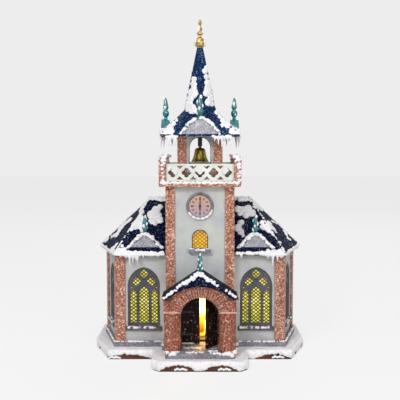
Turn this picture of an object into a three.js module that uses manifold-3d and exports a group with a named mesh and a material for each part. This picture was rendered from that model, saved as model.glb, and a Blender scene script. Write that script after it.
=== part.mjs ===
import * as THREE from 'three';
import { ConvexGeometry } from 'three/addons/geometries/ConvexGeometry.js';
import { mergeVertices } from 'three/addons/utils/BufferGeometryUtils.js';
import Module from 'manifold-3d';

// A wooden Christmas village church, in millimetres.
// X runs left to right, Y from the porch to the back wall and Z up.
// The origin is the middle of the base's underside.

// Fits
const seatGap = 0.3; // between pieces that seat on each other
const runningGap = 0.25; // round a pin

// Base board and the snow on it
const boardWidth = 305;
const boardDepth = 256;
const boardThickness = 11;
const tongueWidth = 128;
const tongueDepth = 55;
const tongueChamfer = 9;
const wingCornerInset = 24;
const wingChamferDepth = 61;
const backCornerInset = 36;
const backChamferDepth = 60;
const snowDepth = 3;
const snowSkirt = 1.5;
const snowRounding = 1.2;
const snowSpacing = 12; // of the drips' points along the edge
const dripHeight = 4.4; // mean height of the skirt's lower edge above the table
const dripSwing = 2.4;

// Plinth
const plinthHeight = 10.7;
const plinthReach = 5.5; // beyond the wall faces
const plinthInset = 11; // inside the wall faces

// Nave
const naveSideMargin = 11.5; // of board beside the walls at their widest
const naveBackMargin = 18.85; // of board behind the rear wall
const naveCornerInset = 23; // of the front corners from the widest point
const naveSetback = 18; // behind the tower's front
const naveWallHeight = 125.3;
const wallThickness = 5;
const pilasterReach = 11;
const pilasterProud = 3;
const junctionStripWidth = 4.7;

// Nave roof
const eaveOverhang = 11;
const eaveCornerReach = 2.5; // sideways beyond the wall corners
const eaveTipReach = 11.4;
const eaveThickness = 3;
const ridgeRise = 75; // above the wall tops
const hipRun = 65; // from each side corner of the walls to the ridge's end
const roofShell = 5;

// Gothic windows
const windowMargin = 12.5; // of wall beside the window, both sides together
const windowShift = 3.45; // from the corner strip
const windowHeight = 85.7;
const windowSpringing = 58.3; // above the window's foot
const windowFoot = 42.7; // above the table
const traceryThickness = 2.5;
const traceryBorder = 3.4;
const traceryRecess = 0.8;
const traceryFoot = 1.4; // solid band under the lights
const paneThickness = 1.4;
const middleLightShare = 0.288; // of the window's width, as the four below
const sideLightShare = 0.194;
const lightPitchShare = 0.3226;
const quatrefoilShare = 0.25;
const quatrefoilSpreadShare = 0.22;
const middleLightTop = 58;
const sideLightTop = 52.5;
const lowerQuatrefoilHeight = 64.2;
const upperQuatrefoilHeight = 75.6;
const sillHeight = 5.8;
const sillReach = 2.5; // beyond the window at each side
const sillProud = 4;

// Tower
const towerWidth = 96; // over the brick corner strips
const towerSetback = 55.75; // behind the tongue's front edge
const towerTop = 244.2;
const towerStripProud = 2;
const towerStripWidth = 13;
const lightPassageWidth = 58;
const lightPassageFoot = 32;
const lightPassageTop = 134;

// Clock
const clockHeight = 217;
const bezelDiameter = 38;
const dialDiameter = 29.4;
const bezelProud = 3.4;
const clockDrumDiameter = 32;
const clockDrumDepth = 9;
const arborDiameter = 1.3;
const handThickness = 0.6;
const minuteHandLength = 11.2;
const hourHandLength = 8.2;

// Small window over the porch
const lancetWidth = 20.5;
const lancetHeight = 25;
const lancetFoot = 158;
const paneLap = 2; // of the pane over the wall behind the opening
const lancetSillWidth = 30.6;
const lancetSillHeight = 6;
const lancetSillProud = 5.5;

// Balcony
const deckWidth = 113.2;
const deckThickness = 7;
const postWidth = 9.6;
const postHeight = 34.4;
const railHeight = 24.4;
const railThickness = 3;
const railFoils = 5;
const railFoilWidth = 13.6;

// Belfry
const belfryWidth = 63.6;
const belfryHeight = 63.2;
const belfryPierWidth = 13;
const belfryPierProud = 1.2;
const belfryArchWidth = 31;
const belfryArchRise = 1.2; // wall left over the arch
const belfryParapet = 5;

// Bell
const bellDiameter = 25.4;
const bellHeight = 20.1;
const bellWall = 1.4;
const bellPinDrop = 12.6; // below the belfry's ceiling
const bellPinDiameter = 2;
const bellLugRadius = 3.2;
const bellLugThickness = 4;
const bellEarThickness = 1.8;
const hangerPlateWidth = 16;
const hangerPlateThickness = 2.2;
const stapleGap = 2.4; // between the clapper staple's legs
const stapleLeg = 1;
const clapperEyeThickness = 1.6;
const clapperPinDiameter = 1.2;
const clapperEyeRadius = 1.7;
const clapperLength = 14;
const clapperBallDiameter = 5.2;

// Spire
const spireEaveWidth = 110;
const spireEaveThickness = 1.6;
const skirtHeight = 35.5;
const spireFootWidth = 45.2; // across the flats of the octagon
const spireHeight = 88.5;
const spireTipWidth = 8.8;
const gableWidth = 57;
const gableHeight = 23.2;
const gableDepth = 12;
const gableRim = 2.8;
const gableRecess = 1.2;
const gableFullness = 0.52; // exponent of the bell curve
const dormerWidth = 51;
const dormerHeight = 19.8;
const dormerFullness = 0.8;
const dormerShift = 1.5; // from over the window towards the tower
const dormerSetback = 8;
const finialHeight = 30.5;
const smallFinialHeight = 26.5; // on the dormers and the porch
const finialSpigot = 1.5; // of the finials' feet below their seats
const topFinialHeight = 40.2;

// Porch
const porchDepth = 47;
const porchRoofWidth = 103;
const porchApexHeight = 131;
const porchRoofRise = 34.4;
const soffitWidth = 76; // chord of the arched soffit
const soffitFootRise = 2.9; // above the eaves
const soffitCrownRise = 16.2;
const porchArchWidth = 52;
const porchArchDrop = 25.6; // of the arch's springing below the eaves
const porchWallThickness = 10;
const porchWallSetback = 3.5;
const porchSideThickness = 5;
const porchSideDrop = 4; // of the side walls' tops below the soffit's foot
const porchEaveLip = 1.8;
const porchFinialSetback = 5;
const columnDiameter = 23;
const columnDrop = 2.9; // of the columns' tops below the eaves
const columnBandWidth = 3;
const columnBandProud = 0.8;
const lowerBandHeight = 14; // above the columns' feet
const impostDrop = 17.5; // of the brick blocks' undersides below the columns' tops
const stepWidth = 95;
const stepCorner = 9; // radius of its front corners

// Doors
const doorThickness = 4.5;
const doorGap = 0.3; // round each leaf
const doorSillGap = 0.6;
const doorStop = 1.6; // the doorway behind is narrower than the leaves by this
const frameWidth = 5;
const frameSetback = 0.4; // of the frame's face behind the leaves' face
const pintleDiameter = 1.5;
const knuckleRadius = 1.6;
const pintleArm = 1.1; // half its width
const knuckleHeight = 5;
const pintleHeight = 8;
const strapThickness = 0.9;
const strapLength = 17;
const lowerHingeHeight = 12;
const upperHingeHeight = 44;
const rightDoorAjar = 55; // degrees
const ringRadius = 2.6;
const ringWire = 0.7;
const ringHeight = 33; // above the step
const ringInset = 7.5; // of the ring from the middle of the doorway
const strapWidth = 3.4;

// Lamp and battery box
const batteryBayWidth = 46;
const batteryBayDepth = 53;
const batteryBayHeight = 17.2;
const batteryWall = 2;
const batteryRim = 3;
const coverThickness = 2;
const coverRecess = 1;
const coverHingeRadius = 1.4;
const coverPinDiameter = 1.2;
const coverHingeGap = 0.4;
const coverPinBearing = 3; // how far the pin runs into the board at each end
const coverHingeRoom = 0.8; // round the knuckles
const coverSideGap = 1; // from the bay's sides, so that the flap swings freely
const coverEndGap = 0.5;
const coverGripWidth = 12;
const coverGripLength = 2.4;
const coverGripSink = 0.8;
const switchWidth = 6;
const switchLength = 7;
const switchTravel = 4;
const switchThickness = 3;
const switchFloor = 3.2; // between the key and the cover's side
const knobWidth = 3;
const lampHolderDiameter = 14;
const lampHolderHeight = 34;
const lampDiameter = 10;
const lampHeight = 16;
const socketDepth = 6;

// Places worked out from the sizes above
const boardFront = -boardDepth / 2;
const plinthTop = boardThickness + plinthHeight;
const towerFront = boardFront + towerSetback;
const towerY = towerFront + towerWidth / 2;
const towerWallHalf = towerWidth / 2 - towerStripProud;
const towerInnerHalf = towerWallHalf - wallThickness;
const naveFront = towerFront + naveSetback;
const naveWidth = boardWidth - 2 * naveSideMargin;
const naveFrontWidth = naveWidth - 2 * naveCornerInset;
const naveDepth = -boardFront - naveBackMargin - naveFront;
const windowWidth = (naveFrontWidth - towerWidth) / 2 - pilasterReach - windowMargin;
const frontWindowX = naveFrontWidth / 2 - pilasterReach - windowShift - windowWidth / 2;
const eaveCornerX = naveFrontWidth / 2 + eaveCornerReach;
const eaveTipX = naveWidth / 2 + eaveTipReach;
const ridgeLength = naveWidth - 2 * hipRun;
const naveY = naveFront + naveDepth / 2;
const naveWallTop = plinthTop + naveWallHeight;
const deckTop = towerTop + deckThickness;
const belfryTop = deckTop + belfryHeight;
const spireBreak = belfryTop + spireEaveThickness + skirtHeight;
const spireTop = spireBreak + spireHeight;
const porchEaveHeight = porchApexHeight - porchRoofRise;
const soffitFoot = porchEaveHeight + soffitFootRise;
const soffitCrown = porchEaveHeight + soffitCrownRise;
const porchArchSpringing = porchEaveHeight - porchArchDrop;
const columnHeight = porchEaveHeight - columnDrop - plinthTop;

const wasm = await Module();
wasm.setup();

// Shape tools

const vector = (x, y) => new THREE.Vector2(x, y);

// A closed geometry as a solid that can be joined and cut.
function solidOf(geometry) {
  const loose = geometry.index ? geometry.toNonIndexed() : geometry;
  const bare = new THREE.BufferGeometry();
  bare.setAttribute('position', loose.getAttribute('position'));
  const merged = mergeVertices(bare, 1e-4);
  const vertProperties = merged.attributes.position.array;
  const triVerts = new Uint32Array(merged.index.array);
  return new wasm.Manifold(new wasm.Mesh({ numProp: 3, vertProperties, triVerts }));
}

function geometryOf(solid) {
  const mesh = solid.getMesh();
  const geometry = new THREE.BufferGeometry();
  geometry.setAttribute('position', new THREE.BufferAttribute(mesh.vertProperties, 3));
  geometry.setIndex(new THREE.BufferAttribute(mesh.triVerts, 1));
  const faceted = geometry.toNonIndexed();
  faceted.computeVertexNormals();
  return faceted;
}

function join(...geometries) {
  return geometryOf(geometries.map(solidOf).reduce((whole, next) => whole.add(next)));
}

function cut(geometry, ...tools) {
  return geometryOf(tools.map(solidOf).reduce((rest, tool) => rest.subtract(tool), solidOf(geometry)));
}

// A flat outline pushed up from one height to another.
function prism(points, bottom, top) {
  const shape = new THREE.Shape(points);
  const geometry = new THREE.ExtrudeGeometry(shape, { depth: top - bottom, bevelEnabled: false });
  return geometry.translate(0, 0, bottom);
}

// An upright outline drawn in X and Z, pushed back from one depth to another.
function upright(points, front, back) {
  return prism(points, -back, -front).rotateX(Math.PI / 2);
}

// An upright plate with holes right through it.
function pierced(points, front, back, holes) {
  return cut(upright(points, front, back), ...holes.map((hole) => upright(hole, front - 1, back + 1)));
}

// An upright outline drawn in Y and Z, pushed along X.
function crossways(points, left, right) {
  return upright(points, -right, -left).rotateZ(Math.PI / 2);
}

function block(left, right, front, back, bottom, top) {
  const geometry = new THREE.BoxGeometry(right - left, back - front, top - bottom);
  return geometry.translate((left + right) / 2, (front + back) / 2, (bottom + top) / 2);
}

// A turned piece about Z from [radius, height] pairs that run from foot to top.
function turned(profile, segments) {
  const points = profile.map(([radius, height]) => vector(radius, height));
  return new THREE.LatheGeometry(points, segments).rotateX(Math.PI / 2);
}

// A profile drawn at any size, scaled so that its tip stands at a height.
function fitted(profile, height) {
  const unit = height / profile.at(-1)[1];
  return profile.map(([radius, z]) => [radius * unit, z * unit]);
}

// A straight round rod about Z.
function rod(radius, bottom, top, segments = 12) {
  return turned([[0, bottom], [radius, bottom], [radius, top], [0, top]], segments);
}

function hull(points) {
  return new ConvexGeometry(points.map(([x, y, z]) => new THREE.Vector3(x, y, z)));
}

// Points along an arc, angles in degrees.
function arc(x, y, radius, from, to, steps) {
  return Array.from({ length: steps + 1 }, (_, i) => {
    const angle = THREE.MathUtils.degToRad(from + (to - from) * i / steps);
    return vector(x + radius * Math.cos(angle), y + radius * Math.sin(angle));
  });
}

const moved = (points, x, y) => points.map((point) => vector(point.x + x, point.y + y));
const corners = [[-1, -1], [1, -1], [1, 1], [-1, 1]];
const square = (half) => corners.map(([x, y]) => vector(x * half, y * half));

// The corner of an anticlockwise outline, moved outwards with its two sides.
function mitre(before, corner, after, distance) {
  const along = corner.clone().sub(before).normalize();
  const onward = after.clone().sub(corner).normalize();
  const first = vector(along.y, -along.x);
  const second = vector(onward.y, -onward.x);
  const reach = distance / (1 + first.dot(second));
  return corner.clone().add(first.add(second).multiplyScalar(reach));
}

function grown(outline, distance) {
  const count = outline.length;
  return outline.map((corner, i) => {
    return mitre(outline[(i + count - 1) % count], corner, outline[(i + 1) % count], distance);
  });
}

// An angled strip that wraps the outside of one corner of an outline.
function cornerStrip(outline, index, reach, inner, outer) {
  const count = outline.length;
  const corner = outline[index];
  const before = outline[(index + count - 1) % count];
  const after = outline[(index + 1) % count];
  const toBefore = before.clone().sub(corner).normalize();
  const toAfter = after.clone().sub(corner).normalize();
  const start = corner.clone().addScaledVector(toBefore, reach);
  const end = corner.clone().addScaledVector(toAfter, reach);
  const startOut = vector(-toBefore.y, toBefore.x);
  const endOut = vector(toAfter.y, -toAfter.x);
  return [
    start.clone().addScaledVector(startOut, outer),
    mitre(before, corner, after, outer),
    end.clone().addScaledVector(endOut, outer),
    end.clone().addScaledVector(endOut, inner),
    mitre(before, corner, after, inner),
    start.clone().addScaledVector(startOut, inner),
  ];
}

// Round-headed opening, standing on a foot line and centred on x = 0.
function roundArch(width, foot, springing, steps = 12) {
  const half = width / 2;
  return [vector(-half, foot), vector(half, foot), ...arc(0, springing, half, 0, 180, steps)];
}

// Two-centred pointed arch.
function pointedArch(width, foot, springing, top, steps = 6) {
  const half = width / 2;
  const rise = top - springing;
  const radius = (half * half + rise * rise) / width;
  const spread = THREE.MathUtils.radToDeg(Math.atan2(rise, radius - half));
  return [
    vector(-half, foot),
    vector(half, foot),
    ...arc(half - radius, springing, radius, 0, spread, steps),
    ...arc(radius - half, springing, radius, 180 - spread, 180, steps).slice(1),
  ];
}

// Four round lobes about one point.
function quatrefoil(x, y, width) {
  const radius = width / 4;
  const offset = width / 2 - radius;
  const meet = (offset + Math.sqrt(2 * radius * radius - offset * offset)) / 2;
  const sweep = THREE.MathUtils.radToDeg(Math.atan2(meet, meet - offset));
  return [0, 90, 180, 270].flatMap((turn) => {
    const centre = arc(x, y, offset, turn, turn, 1)[0];
    return arc(centre.x, centre.y, radius, turn - sweep, turn + sweep, 4).slice(1);
  });
}

// The bell curve of the gables, from its left foot to its right foot.
function bellCurve(width, height, fullness, steps = 18) {
  return Array.from({ length: steps + 1 }, (_, i) => {
    const share = 1 - 2 * i / steps;
    const lift = ((1 + Math.cos(Math.PI * share)) / 2) ** fullness;
    return vector(share * width / 2, Math.max(lift, 0) * height);
  });
}

function finish(color, roughness, metalness = 0) {
  return new THREE.MeshStandardMaterial({ color, roughness, metalness });
}

const finishes = {
  board: () => finish('#5a2508', 0.6),
  snow: () => finish('#e6e4e6', 0.75),
  granite: () => finish('#77727e', 0.8),
  wall: () => finish('#bfc0bf', 0.6),
  brick: () => finish('#b87355', 0.7),
  porchBrick: () => finish('#a0523c', 0.75),
  navy: () => finish('#18244a', 0.55),
  teal: () => finish('#0e7f82', 0.35),
  gold: () => finish('#b08a2e', 0.25, 1),
  tracery: () => finish('#5a5560', 0.6),
  pane: () => finish('#d8c820', 0.4),
  gable: () => finish('#a9a9ad', 0.6),
  rail: () => finish('#d6d9ce', 0.55),
  bezel: () => finish('#808688', 0.35, 1),
  dial: () => finish('#c4a0a0', 0.6),
  hand: () => finish('#2a1412', 0.5),
  door: () => finish('#241210', 0.5),
  plastic: () => finish('#2b2b2d', 0.5),
  lamp: () => finish('#fff1c8', 0.3),
};

function piece(name, geometry, material) {
  const mesh = new THREE.Mesh(geometry, material);
  mesh.name = name;
  return mesh;
}

function assembly(x, y, z, turn = 0) {
  const group = new THREE.Group();
  group.position.set(x, y, z);
  group.rotation.z = THREE.MathUtils.degToRad(turn);
  return group;
}

// Base

function boardOutline() {
  const side = boardWidth / 2;
  const tongue = tongueWidth / 2;
  const shoulder = boardFront + tongueDepth;
  const right = [
    vector(tongue - tongueChamfer, boardFront),
    vector(tongue, boardFront + tongueChamfer),
    vector(tongue, shoulder),
    vector(side - wingCornerInset, shoulder),
    vector(side, shoulder + wingChamferDepth),
    vector(side, -boardFront - backChamferDepth),
    vector(side - backCornerInset, -boardFront),
  ];
  const left = right.map((point) => vector(-point.x, point.y)).reverse();
  return [...right, ...left];
}

// Points spaced evenly along each side of a closed outline.
function stepped(outline, spacing) {
  return outline.flatMap((from, i) => {
    const to = outline[(i + 1) % outline.length];
    const count = Math.max(1, Math.round(from.distanceTo(to) / spacing));
    return Array.from({ length: count }, (_, k) => from.clone().lerp(to, k / count));
  });
}

// A blanket that lies on the board and hangs over its edge in uneven drips.
function snowBlanket() {
  const inside = stepped(grown(boardOutline(), seatGap), snowSpacing);
  const outside = grown(inside, snowSkirt);
  const top = boardThickness + snowDepth;
  const drip = (i) => {
    const wave = Math.sin(i * 1.9) + 0.7 * Math.sin(i * 0.83 + 1.2);
    return dripHeight + dripSwing * wave / 1.7;
  };
  const shoulder = grown(inside, snowSkirt - snowRounding);
  const rings = [
    shoulder.map((point) => [point.x, point.y, top]),
    outside.map((point) => [point.x, point.y, top - snowRounding]),
    outside.map((point, i) => [point.x, point.y, drip(i)]),
    inside.map((point, i) => [point.x, point.y, drip(i)]),
    inside.map((point) => [point.x, point.y, boardThickness]),
  ];
  const count = inside.length;
  const faces = [];
  for (let ring = 0; ring + 1 < rings.length; ring += 1) {
    for (let i = 0; i < count; i += 1) {
      const a = ring * count + i;
      const b = ring * count + (i + 1) % count;
      faces.push([a, a + count, b], [b, a + count, b + count]);
    }
  }
  const cap = THREE.ShapeUtils.triangulateShape(inside, []);
  const last = (rings.length - 1) * count;
  cap.forEach(([a, b, c]) => faces.push([a, b, c], [last + a, last + c, last + b]));
  const geometry = new THREE.BufferGeometry();
  geometry.setAttribute('position', new THREE.Float32BufferAttribute(rings.flat(2), 3));
  geometry.setIndex(faces.flat());
  return geometry;
}

// Outline of the nave's wall faces about its own centre, anticlockwise from the front left corner.
const naveOutline = [
  vector(-naveFrontWidth / 2, -naveDepth / 2),
  vector(naveFrontWidth / 2, -naveDepth / 2),
  vector(naveWidth / 2, 0),
  vector(naveFrontWidth / 2, naveDepth / 2),
  vector(-naveFrontWidth / 2, naveDepth / 2),
  vector(-naveWidth / 2, 0),
];

const stepBack = towerFront - plinthReach - seatGap;
const stepFront = towerFront - porchDepth;

// The step's plan with round front corners, grown by a gap.
function stepPlan(gap, back) {
  const half = stepWidth / 2;
  const y = stepFront + stepCorner;
  const radius = stepCorner + gap;
  return [
    vector(half + gap, back), vector(-half - gap, back),
    ...arc(stepCorner - half, y, radius, 180, 270, 5), ...arc(half - stepCorner, y, radius, -90, 0, 5),
  ];
}

// The ground plan of plinth and step, grown by a gap.
function footprint(gap, bottom, top) {
  const nave = moved(grown(naveOutline, plinthReach + gap), 0, naveY);
  const tower = moved(square(towerWidth / 2 + plinthReach + gap), 0, towerY);
  return join(
    prism(nave, bottom, top),
    prism(tower, bottom, top),
    prism(stepPlan(gap, stepBack + 1), bottom, top),
  );
}

function plinth() {
  const outer = prism(moved(grown(naveOutline, plinthReach), 0, naveY), boardThickness, plinthTop);
  const hollow = prism(moved(grown(naveOutline, -plinthInset), 0, naveY), 0, plinthTop + 1);
  const tower = moved(square(towerWidth / 2 + plinthReach), 0, towerY);
  const shaft = moved(square(towerWidth / 2 - plinthInset), 0, towerY);
  const ring = join(cut(outer, hollow), prism(tower, boardThickness, plinthTop));
  return cut(ring, prism(shaft, 0, plinthTop + 1));
}

const bayOuterWidth = batteryBayWidth + 2 * batteryWall;
const bayOuterDepth = batteryBayDepth + 2 * batteryWall;
const switchBayWidth = switchWidth + 2 * batteryWall + 2 * runningGap;
const switchBayLength = switchLength + switchTravel + 2 * batteryWall + 2 * runningGap;
const switchX = bayOuterWidth / 2 + switchBayWidth / 2 - batteryWall;
const coverTop = coverRecess + coverThickness + seatGap;
const bayTop = coverTop + batteryBayHeight;

// The plan of the battery box and its switch bay about the tower's centre.
function batteryPlan(gap, bottom, top) {
  const width = bayOuterWidth / 2 + gap;
  const depth = bayOuterDepth / 2 + gap;
  const left = switchX - switchBayWidth / 2 - gap;
  const right = switchX + switchBayWidth / 2 + gap;
  const half = switchBayLength / 2 + gap;
  return join(
    block(-width, width, -depth, depth, bottom, top),
    block(left, right, -half, half, bottom, top),
  );
}

function batteryBox() {
  const bottom = coverTop;
  const top = bayTop + batteryWall;
  const rimBottom = boardThickness + seatGap;
  const shell = join(
    batteryPlan(0, bottom, rimBottom + 1),
    block(-bayOuterWidth / 2, bayOuterWidth / 2, -bayOuterDepth / 2, bayOuterDepth / 2, bottom, top),
    batteryPlan(batteryRim, rimBottom, rimBottom + batteryWall),
  );
  const half = batteryBayWidth / 2;
  const bay = block(-half, half, -batteryBayDepth / 2, batteryBayDepth / 2, 0, bayTop);
  const keyHalf = switchWidth / 2 + runningGap;
  const keyRun = (switchLength + switchTravel) / 2 + runningGap;
  const keyRoom = block(
    switchX - keyHalf, switchX + keyHalf, -keyRun, keyRun, bottom + switchFloor, rimBottom + 3,
  );
  const slotHalf = knobWidth / 2 + runningGap;
  const slotRun = slotHalf + switchTravel / 2;
  const slot = block(switchX - slotHalf, switchX + slotHalf, -slotRun, slotRun, 0, rimBottom);
  return cut(shell, bay, keyRoom, slot);
}

function switchKey() {
  const bottom = coverTop + switchFloor + runningGap;
  const half = switchWidth / 2;
  const knob = knobWidth / 2;
  const body = block(-half, half, -switchLength / 2, switchLength / 2, bottom, bottom + switchThickness);
  const key = join(body, block(-knob, knob, -knob, knob, coverRecess, bottom + 1));
  return key.translate(switchX, -switchTravel / 2, 0);
}

const coverHingeY = -bayOuterDepth / 2 - coverHingeRadius - coverHingeGap;
const coverHingeZ = coverRecess + coverHingeRadius;

// The board, cut for the battery box, its cover and the cover's hinge.
function baseBoard() {
  const board = prism(boardOutline(), 0, boardThickness);
  const box = batteryPlan(seatGap, -1, boardThickness + 1);
  const hingeHalf = batteryBayWidth / 2 + coverSideGap;
  const room = coverHingeRadius + coverHingeRoom;
  const hingeRoom = block(-hingeHalf, hingeHalf, coverHingeY - room, 0, -1, coverHingeZ + room);
  const hole = join(box, hingeRoom).translate(0, towerY, 0);
  const pinHalf = hingeHalf + coverPinBearing;
  const pin = rod(coverPinDiameter / 2, -pinHalf, pinHalf).rotateY(Math.PI / 2);
  return join(cut(board, hole), pin.translate(0, towerY + coverHingeY, coverHingeZ));
}

// A flap over the battery bay with two knuckles on the board's hinge pin.
function batteryCover() {
  const half = batteryBayWidth / 2 - coverSideGap;
  const front = coverHingeY;
  const back = bayOuterDepth / 2 - coverEndGap;
  const flap = block(-half, half, front, back, coverRecess, coverRecess + coverThickness);
  const barrel = rod(coverHingeRadius, -half, half).rotateY(Math.PI / 2).translate(0, front, coverHingeZ);
  const bore = rod(coverPinDiameter / 2 + runningGap, -half - 1, half + 1).rotateY(Math.PI / 2);
  const gripHalf = coverGripWidth / 2;
  const gripFront = back - 2 * coverGripLength;
  const gripBack = gripFront + coverGripLength;
  const grip = block(-gripHalf, gripHalf, gripFront, gripBack, 0, coverRecess + coverGripSink);
  return cut(join(flap, barrel), bore.translate(0, front, coverHingeZ), grip);
}

// Nave walls and windows

// The plan of one straight wall between two corners of the nave.
function wallPlan(index, trim) {
  const inner = grown(naveOutline, -wallThickness);
  const next = (index + 1) % naveOutline.length;
  const along = naveOutline[next].clone().sub(naveOutline[index]).normalize();
  return [
    naveOutline[index].clone().addScaledVector(along, trim),
    naveOutline[next].clone().addScaledVector(along, -trim),
    inner[next].clone().addScaledVector(along, -trim),
    inner[index].clone().addScaledVector(along, trim),
  ];
}

const windowTop = windowFoot + windowHeight;
const sillTop = windowFoot - 0.2;

// The hole that the tracery and its sill fill, in the wall's own frame.
function windowHole() {
  const arch = pointedArch(windowWidth, sillTop - sillHeight, windowFoot + windowSpringing, windowTop);
  return upright(arch, -1, wallThickness + 1);
}

// Dark stone tracery: three lancets under three quatrefoils, on a sill.
function windowTracery() {
  const foot = windowFoot;
  const outline = grown(pointedArch(windowWidth, foot, foot + windowSpringing, windowTop), -seatGap);
  const lightFoot = foot + traceryBorder + traceryFoot;
  const lancet = (x, width, top) => {
    return moved(pointedArch(width, lightFoot, foot + top - width * 0.9, foot + top, 3), x, 0);
  };
  const sideLightWidth = windowWidth * sideLightShare;
  const lightPitch = windowWidth * lightPitchShare;
  const quatrefoilWidth = windowWidth * quatrefoilShare;
  const quatrefoilSpread = windowWidth * quatrefoilSpreadShare;
  const holes = [
    lancet(0, windowWidth * middleLightShare, middleLightTop),
    lancet(-lightPitch, sideLightWidth, sideLightTop),
    lancet(lightPitch, sideLightWidth, sideLightTop),
    quatrefoil(-quatrefoilSpread, foot + lowerQuatrefoilHeight, quatrefoilWidth),
    quatrefoil(quatrefoilSpread, foot + lowerQuatrefoilHeight, quatrefoilWidth),
    quatrefoil(0, foot + upperQuatrefoilHeight, quatrefoilWidth),
  ];
  const plate = pierced(outline, traceryRecess, traceryRecess + traceryThickness, holes);
  const tongueHalf = windowWidth / 2 - seatGap;
  const sillBottom = sillTop - sillHeight + seatGap;
  const tongue = block(-tongueHalf, tongueHalf, -1, wallThickness - 1, sillBottom, sillTop + 1);
  const ledgeHalf = windowWidth / 2 + sillReach;
  const ledge = block(-ledgeHalf, ledgeHalf, -sillProud, -seatGap, sillBottom, sillTop);
  return join(plate, tongue, ledge);
}

function windowPane() {
  const springing = windowFoot + windowSpringing;
  const outline = grown(pointedArch(windowWidth, windowFoot + traceryFoot, springing, windowTop), -seatGap);
  const front = traceryRecess + traceryThickness + seatGap;
  return upright(outline, front, front + paneThickness);
}

function glaze(wall, side) {
  wall.add(piece('window_tracery_' + side, windowTracery(), finishes.tracery()));
  wall.add(piece('window_pane_' + side, windowPane(), finishes.pane()));
}

// A front wall with its window and the brick strip beside the tower; side is -1 left or 1 right.
function frontWall(side, name) {
  const wall = assembly(side * frontWindowX, -naveDepth / 2, 0);
  const whole = wallPlan(0, seatGap);
  const outerCorner = side < 0 ? whole[0] : whole[1];
  const innerCorner = side < 0 ? whole[3] : whole[2];
  const end = side * (towerWallHalf + towerStripProud + seatGap);
  const plan = [outerCorner, vector(end, outerCorner.y), vector(end, innerCorner.y), innerCorner];
  if (side > 0) plan.reverse();
  const local = moved(plan, -wall.position.x, -wall.position.y);
  const strip = [end, end + side * junctionStripWidth].sort((a, b) => a - b);
  const panel = join(
    prism(local, plinthTop, naveWallTop),
    block(
      strip[0] - wall.position.x, strip[1] - wall.position.x,
      -pilasterProud, 1, plinthTop, naveWallTop,
    ),
  );
  wall.add(piece('nave_front_wall_' + name, cut(panel, windowHole()), finishes.wall()));
  glaze(wall, 'front_' + name);
  return wall;
}

// A front side wall with its window, in a frame that runs along the wall.
function sideWall(index, name) {
  const from = naveOutline[index];
  const to = naveOutline[(index + 1) % naveOutline.length];
  const middle = from.clone().lerp(to, 0.5);
  const angle = Math.atan2(to.y - from.y, to.x - from.x);
  const wall = assembly(middle.x, middle.y, 0, THREE.MathUtils.radToDeg(angle));
  const local = wallPlan(index, seatGap).map((point) => {
    return point.sub(middle).rotateAround(vector(0, 0), -angle);
  });
  const panel = prism(local, plinthTop, naveWallTop);
  wall.add(piece('nave_side_wall_' + name, cut(panel, windowHole()), finishes.wall()));
  glaze(wall, 'side_' + name);
  return wall;
}

// The three rear walls, folded as one, with brick strips at their two corners.
function rearWall() {
  const inner = grown(naveOutline, -wallThickness);
  const right = wallPlan(2, seatGap);
  const left = wallPlan(4, seatGap);
  const plan = [right[0], naveOutline[3], naveOutline[4], left[1], left[2], inner[4], inner[3], right[3]];
  const strips = [3, 4].map((index) => {
    const strip = cornerStrip(naveOutline, index, pilasterReach, -1, pilasterProud);
    return prism(strip, plinthTop, naveWallTop);
  });
  return join(prism(plan, plinthTop, naveWallTop), ...strips);
}

// The hipped body of the roof, or the hollow inside it, by an inset.
function roofBody(inset) {
  const foot = inset ? naveWallTop - 1 : naveWallTop;
  const eave = inset ? grown(naveOutline, -wallThickness - inset) : [
    vector(-eaveCornerX, -naveDepth / 2 - eaveOverhang),
    vector(eaveCornerX, -naveDepth / 2 - eaveOverhang),
    vector(eaveTipX, 0),
    vector(eaveCornerX, naveDepth / 2 + eaveOverhang),
    vector(-eaveCornerX, naveDepth / 2 + eaveOverhang),
    vector(-eaveTipX, 0),
  ];
  const shoulder = inset ? foot : naveWallTop + eaveThickness;
  const ridge = naveWallTop + ridgeRise - inset * 1.4;
  const ridgeHalf = ridgeLength / 2 - inset;
  return hull([
    ...eave.map((point) => [point.x, point.y, foot]),
    ...eave.map((point) => [point.x, point.y, shoulder]),
    [-ridgeHalf, 0, ridge],
    [ridgeHalf, 0, ridge],
  ]);
}

// The tower's plan with its corner strips, about the tower's centre.
function towerPlan(gap, bottom, top) {
  const corner = towerWidth / 2 - towerStripWidth / 2;
  const strips = square(corner).map((middle) => {
    return prism(moved(square(towerStripWidth / 2 + gap), middle.x, middle.y), bottom, top);
  });
  return join(prism(square(towerWallHalf + gap), bottom, top), ...strips);
}

function naveRoof() {
  const notch = towerPlan(seatGap, naveWallTop - 1, naveWallTop + ridgeRise + 1);
  const half = towerWidth / 2 + seatGap;
  const front = -naveDepth / 2 - eaveOverhang - 1;
  const mouth = block(-half, half, front, towerY - naveY, naveWallTop - 1, naveWallTop + ridgeRise + 1);
  return cut(roofBody(0), roofBody(roofShell), notch.translate(0, towerY - naveY, 0), mouth);
}

// A turned finial: foot, ball, groove and a drawn-out drop.
function finial(height) {
  const profile = [
    [0, -finialSpigot], [2.4, -finialSpigot], [3, 0.2], [2.2, 1.6], [4.2, 5], [4.8, 7.8], [4.2, 10.6],
    [2.6, 13], [3.6, 14.4], [3.9, 16.6], [3.4, 20.6], [1.6, 27.6], [0, 30.5],
  ];
  return turned(fitted(profile, height), 8);
}

// A bell-curve gable with a sunk panel and its finial; its face is at y = 0 and it runs back from there.
function gable(width, height, fullness, tall) {
  const body = upright(bellCurve(width, height, fullness), 0, gableDepth);
  const panel = bellCurve(width - 3 * gableRim, height - gableRim, fullness, 14);
  const sunk = upright(moved(panel, 0, -gableRecess / 2), -gableRecess, gableRecess);
  return join(cut(body, sunk), finial(tall).translate(0, gableDepth / 2, height));
}

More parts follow.
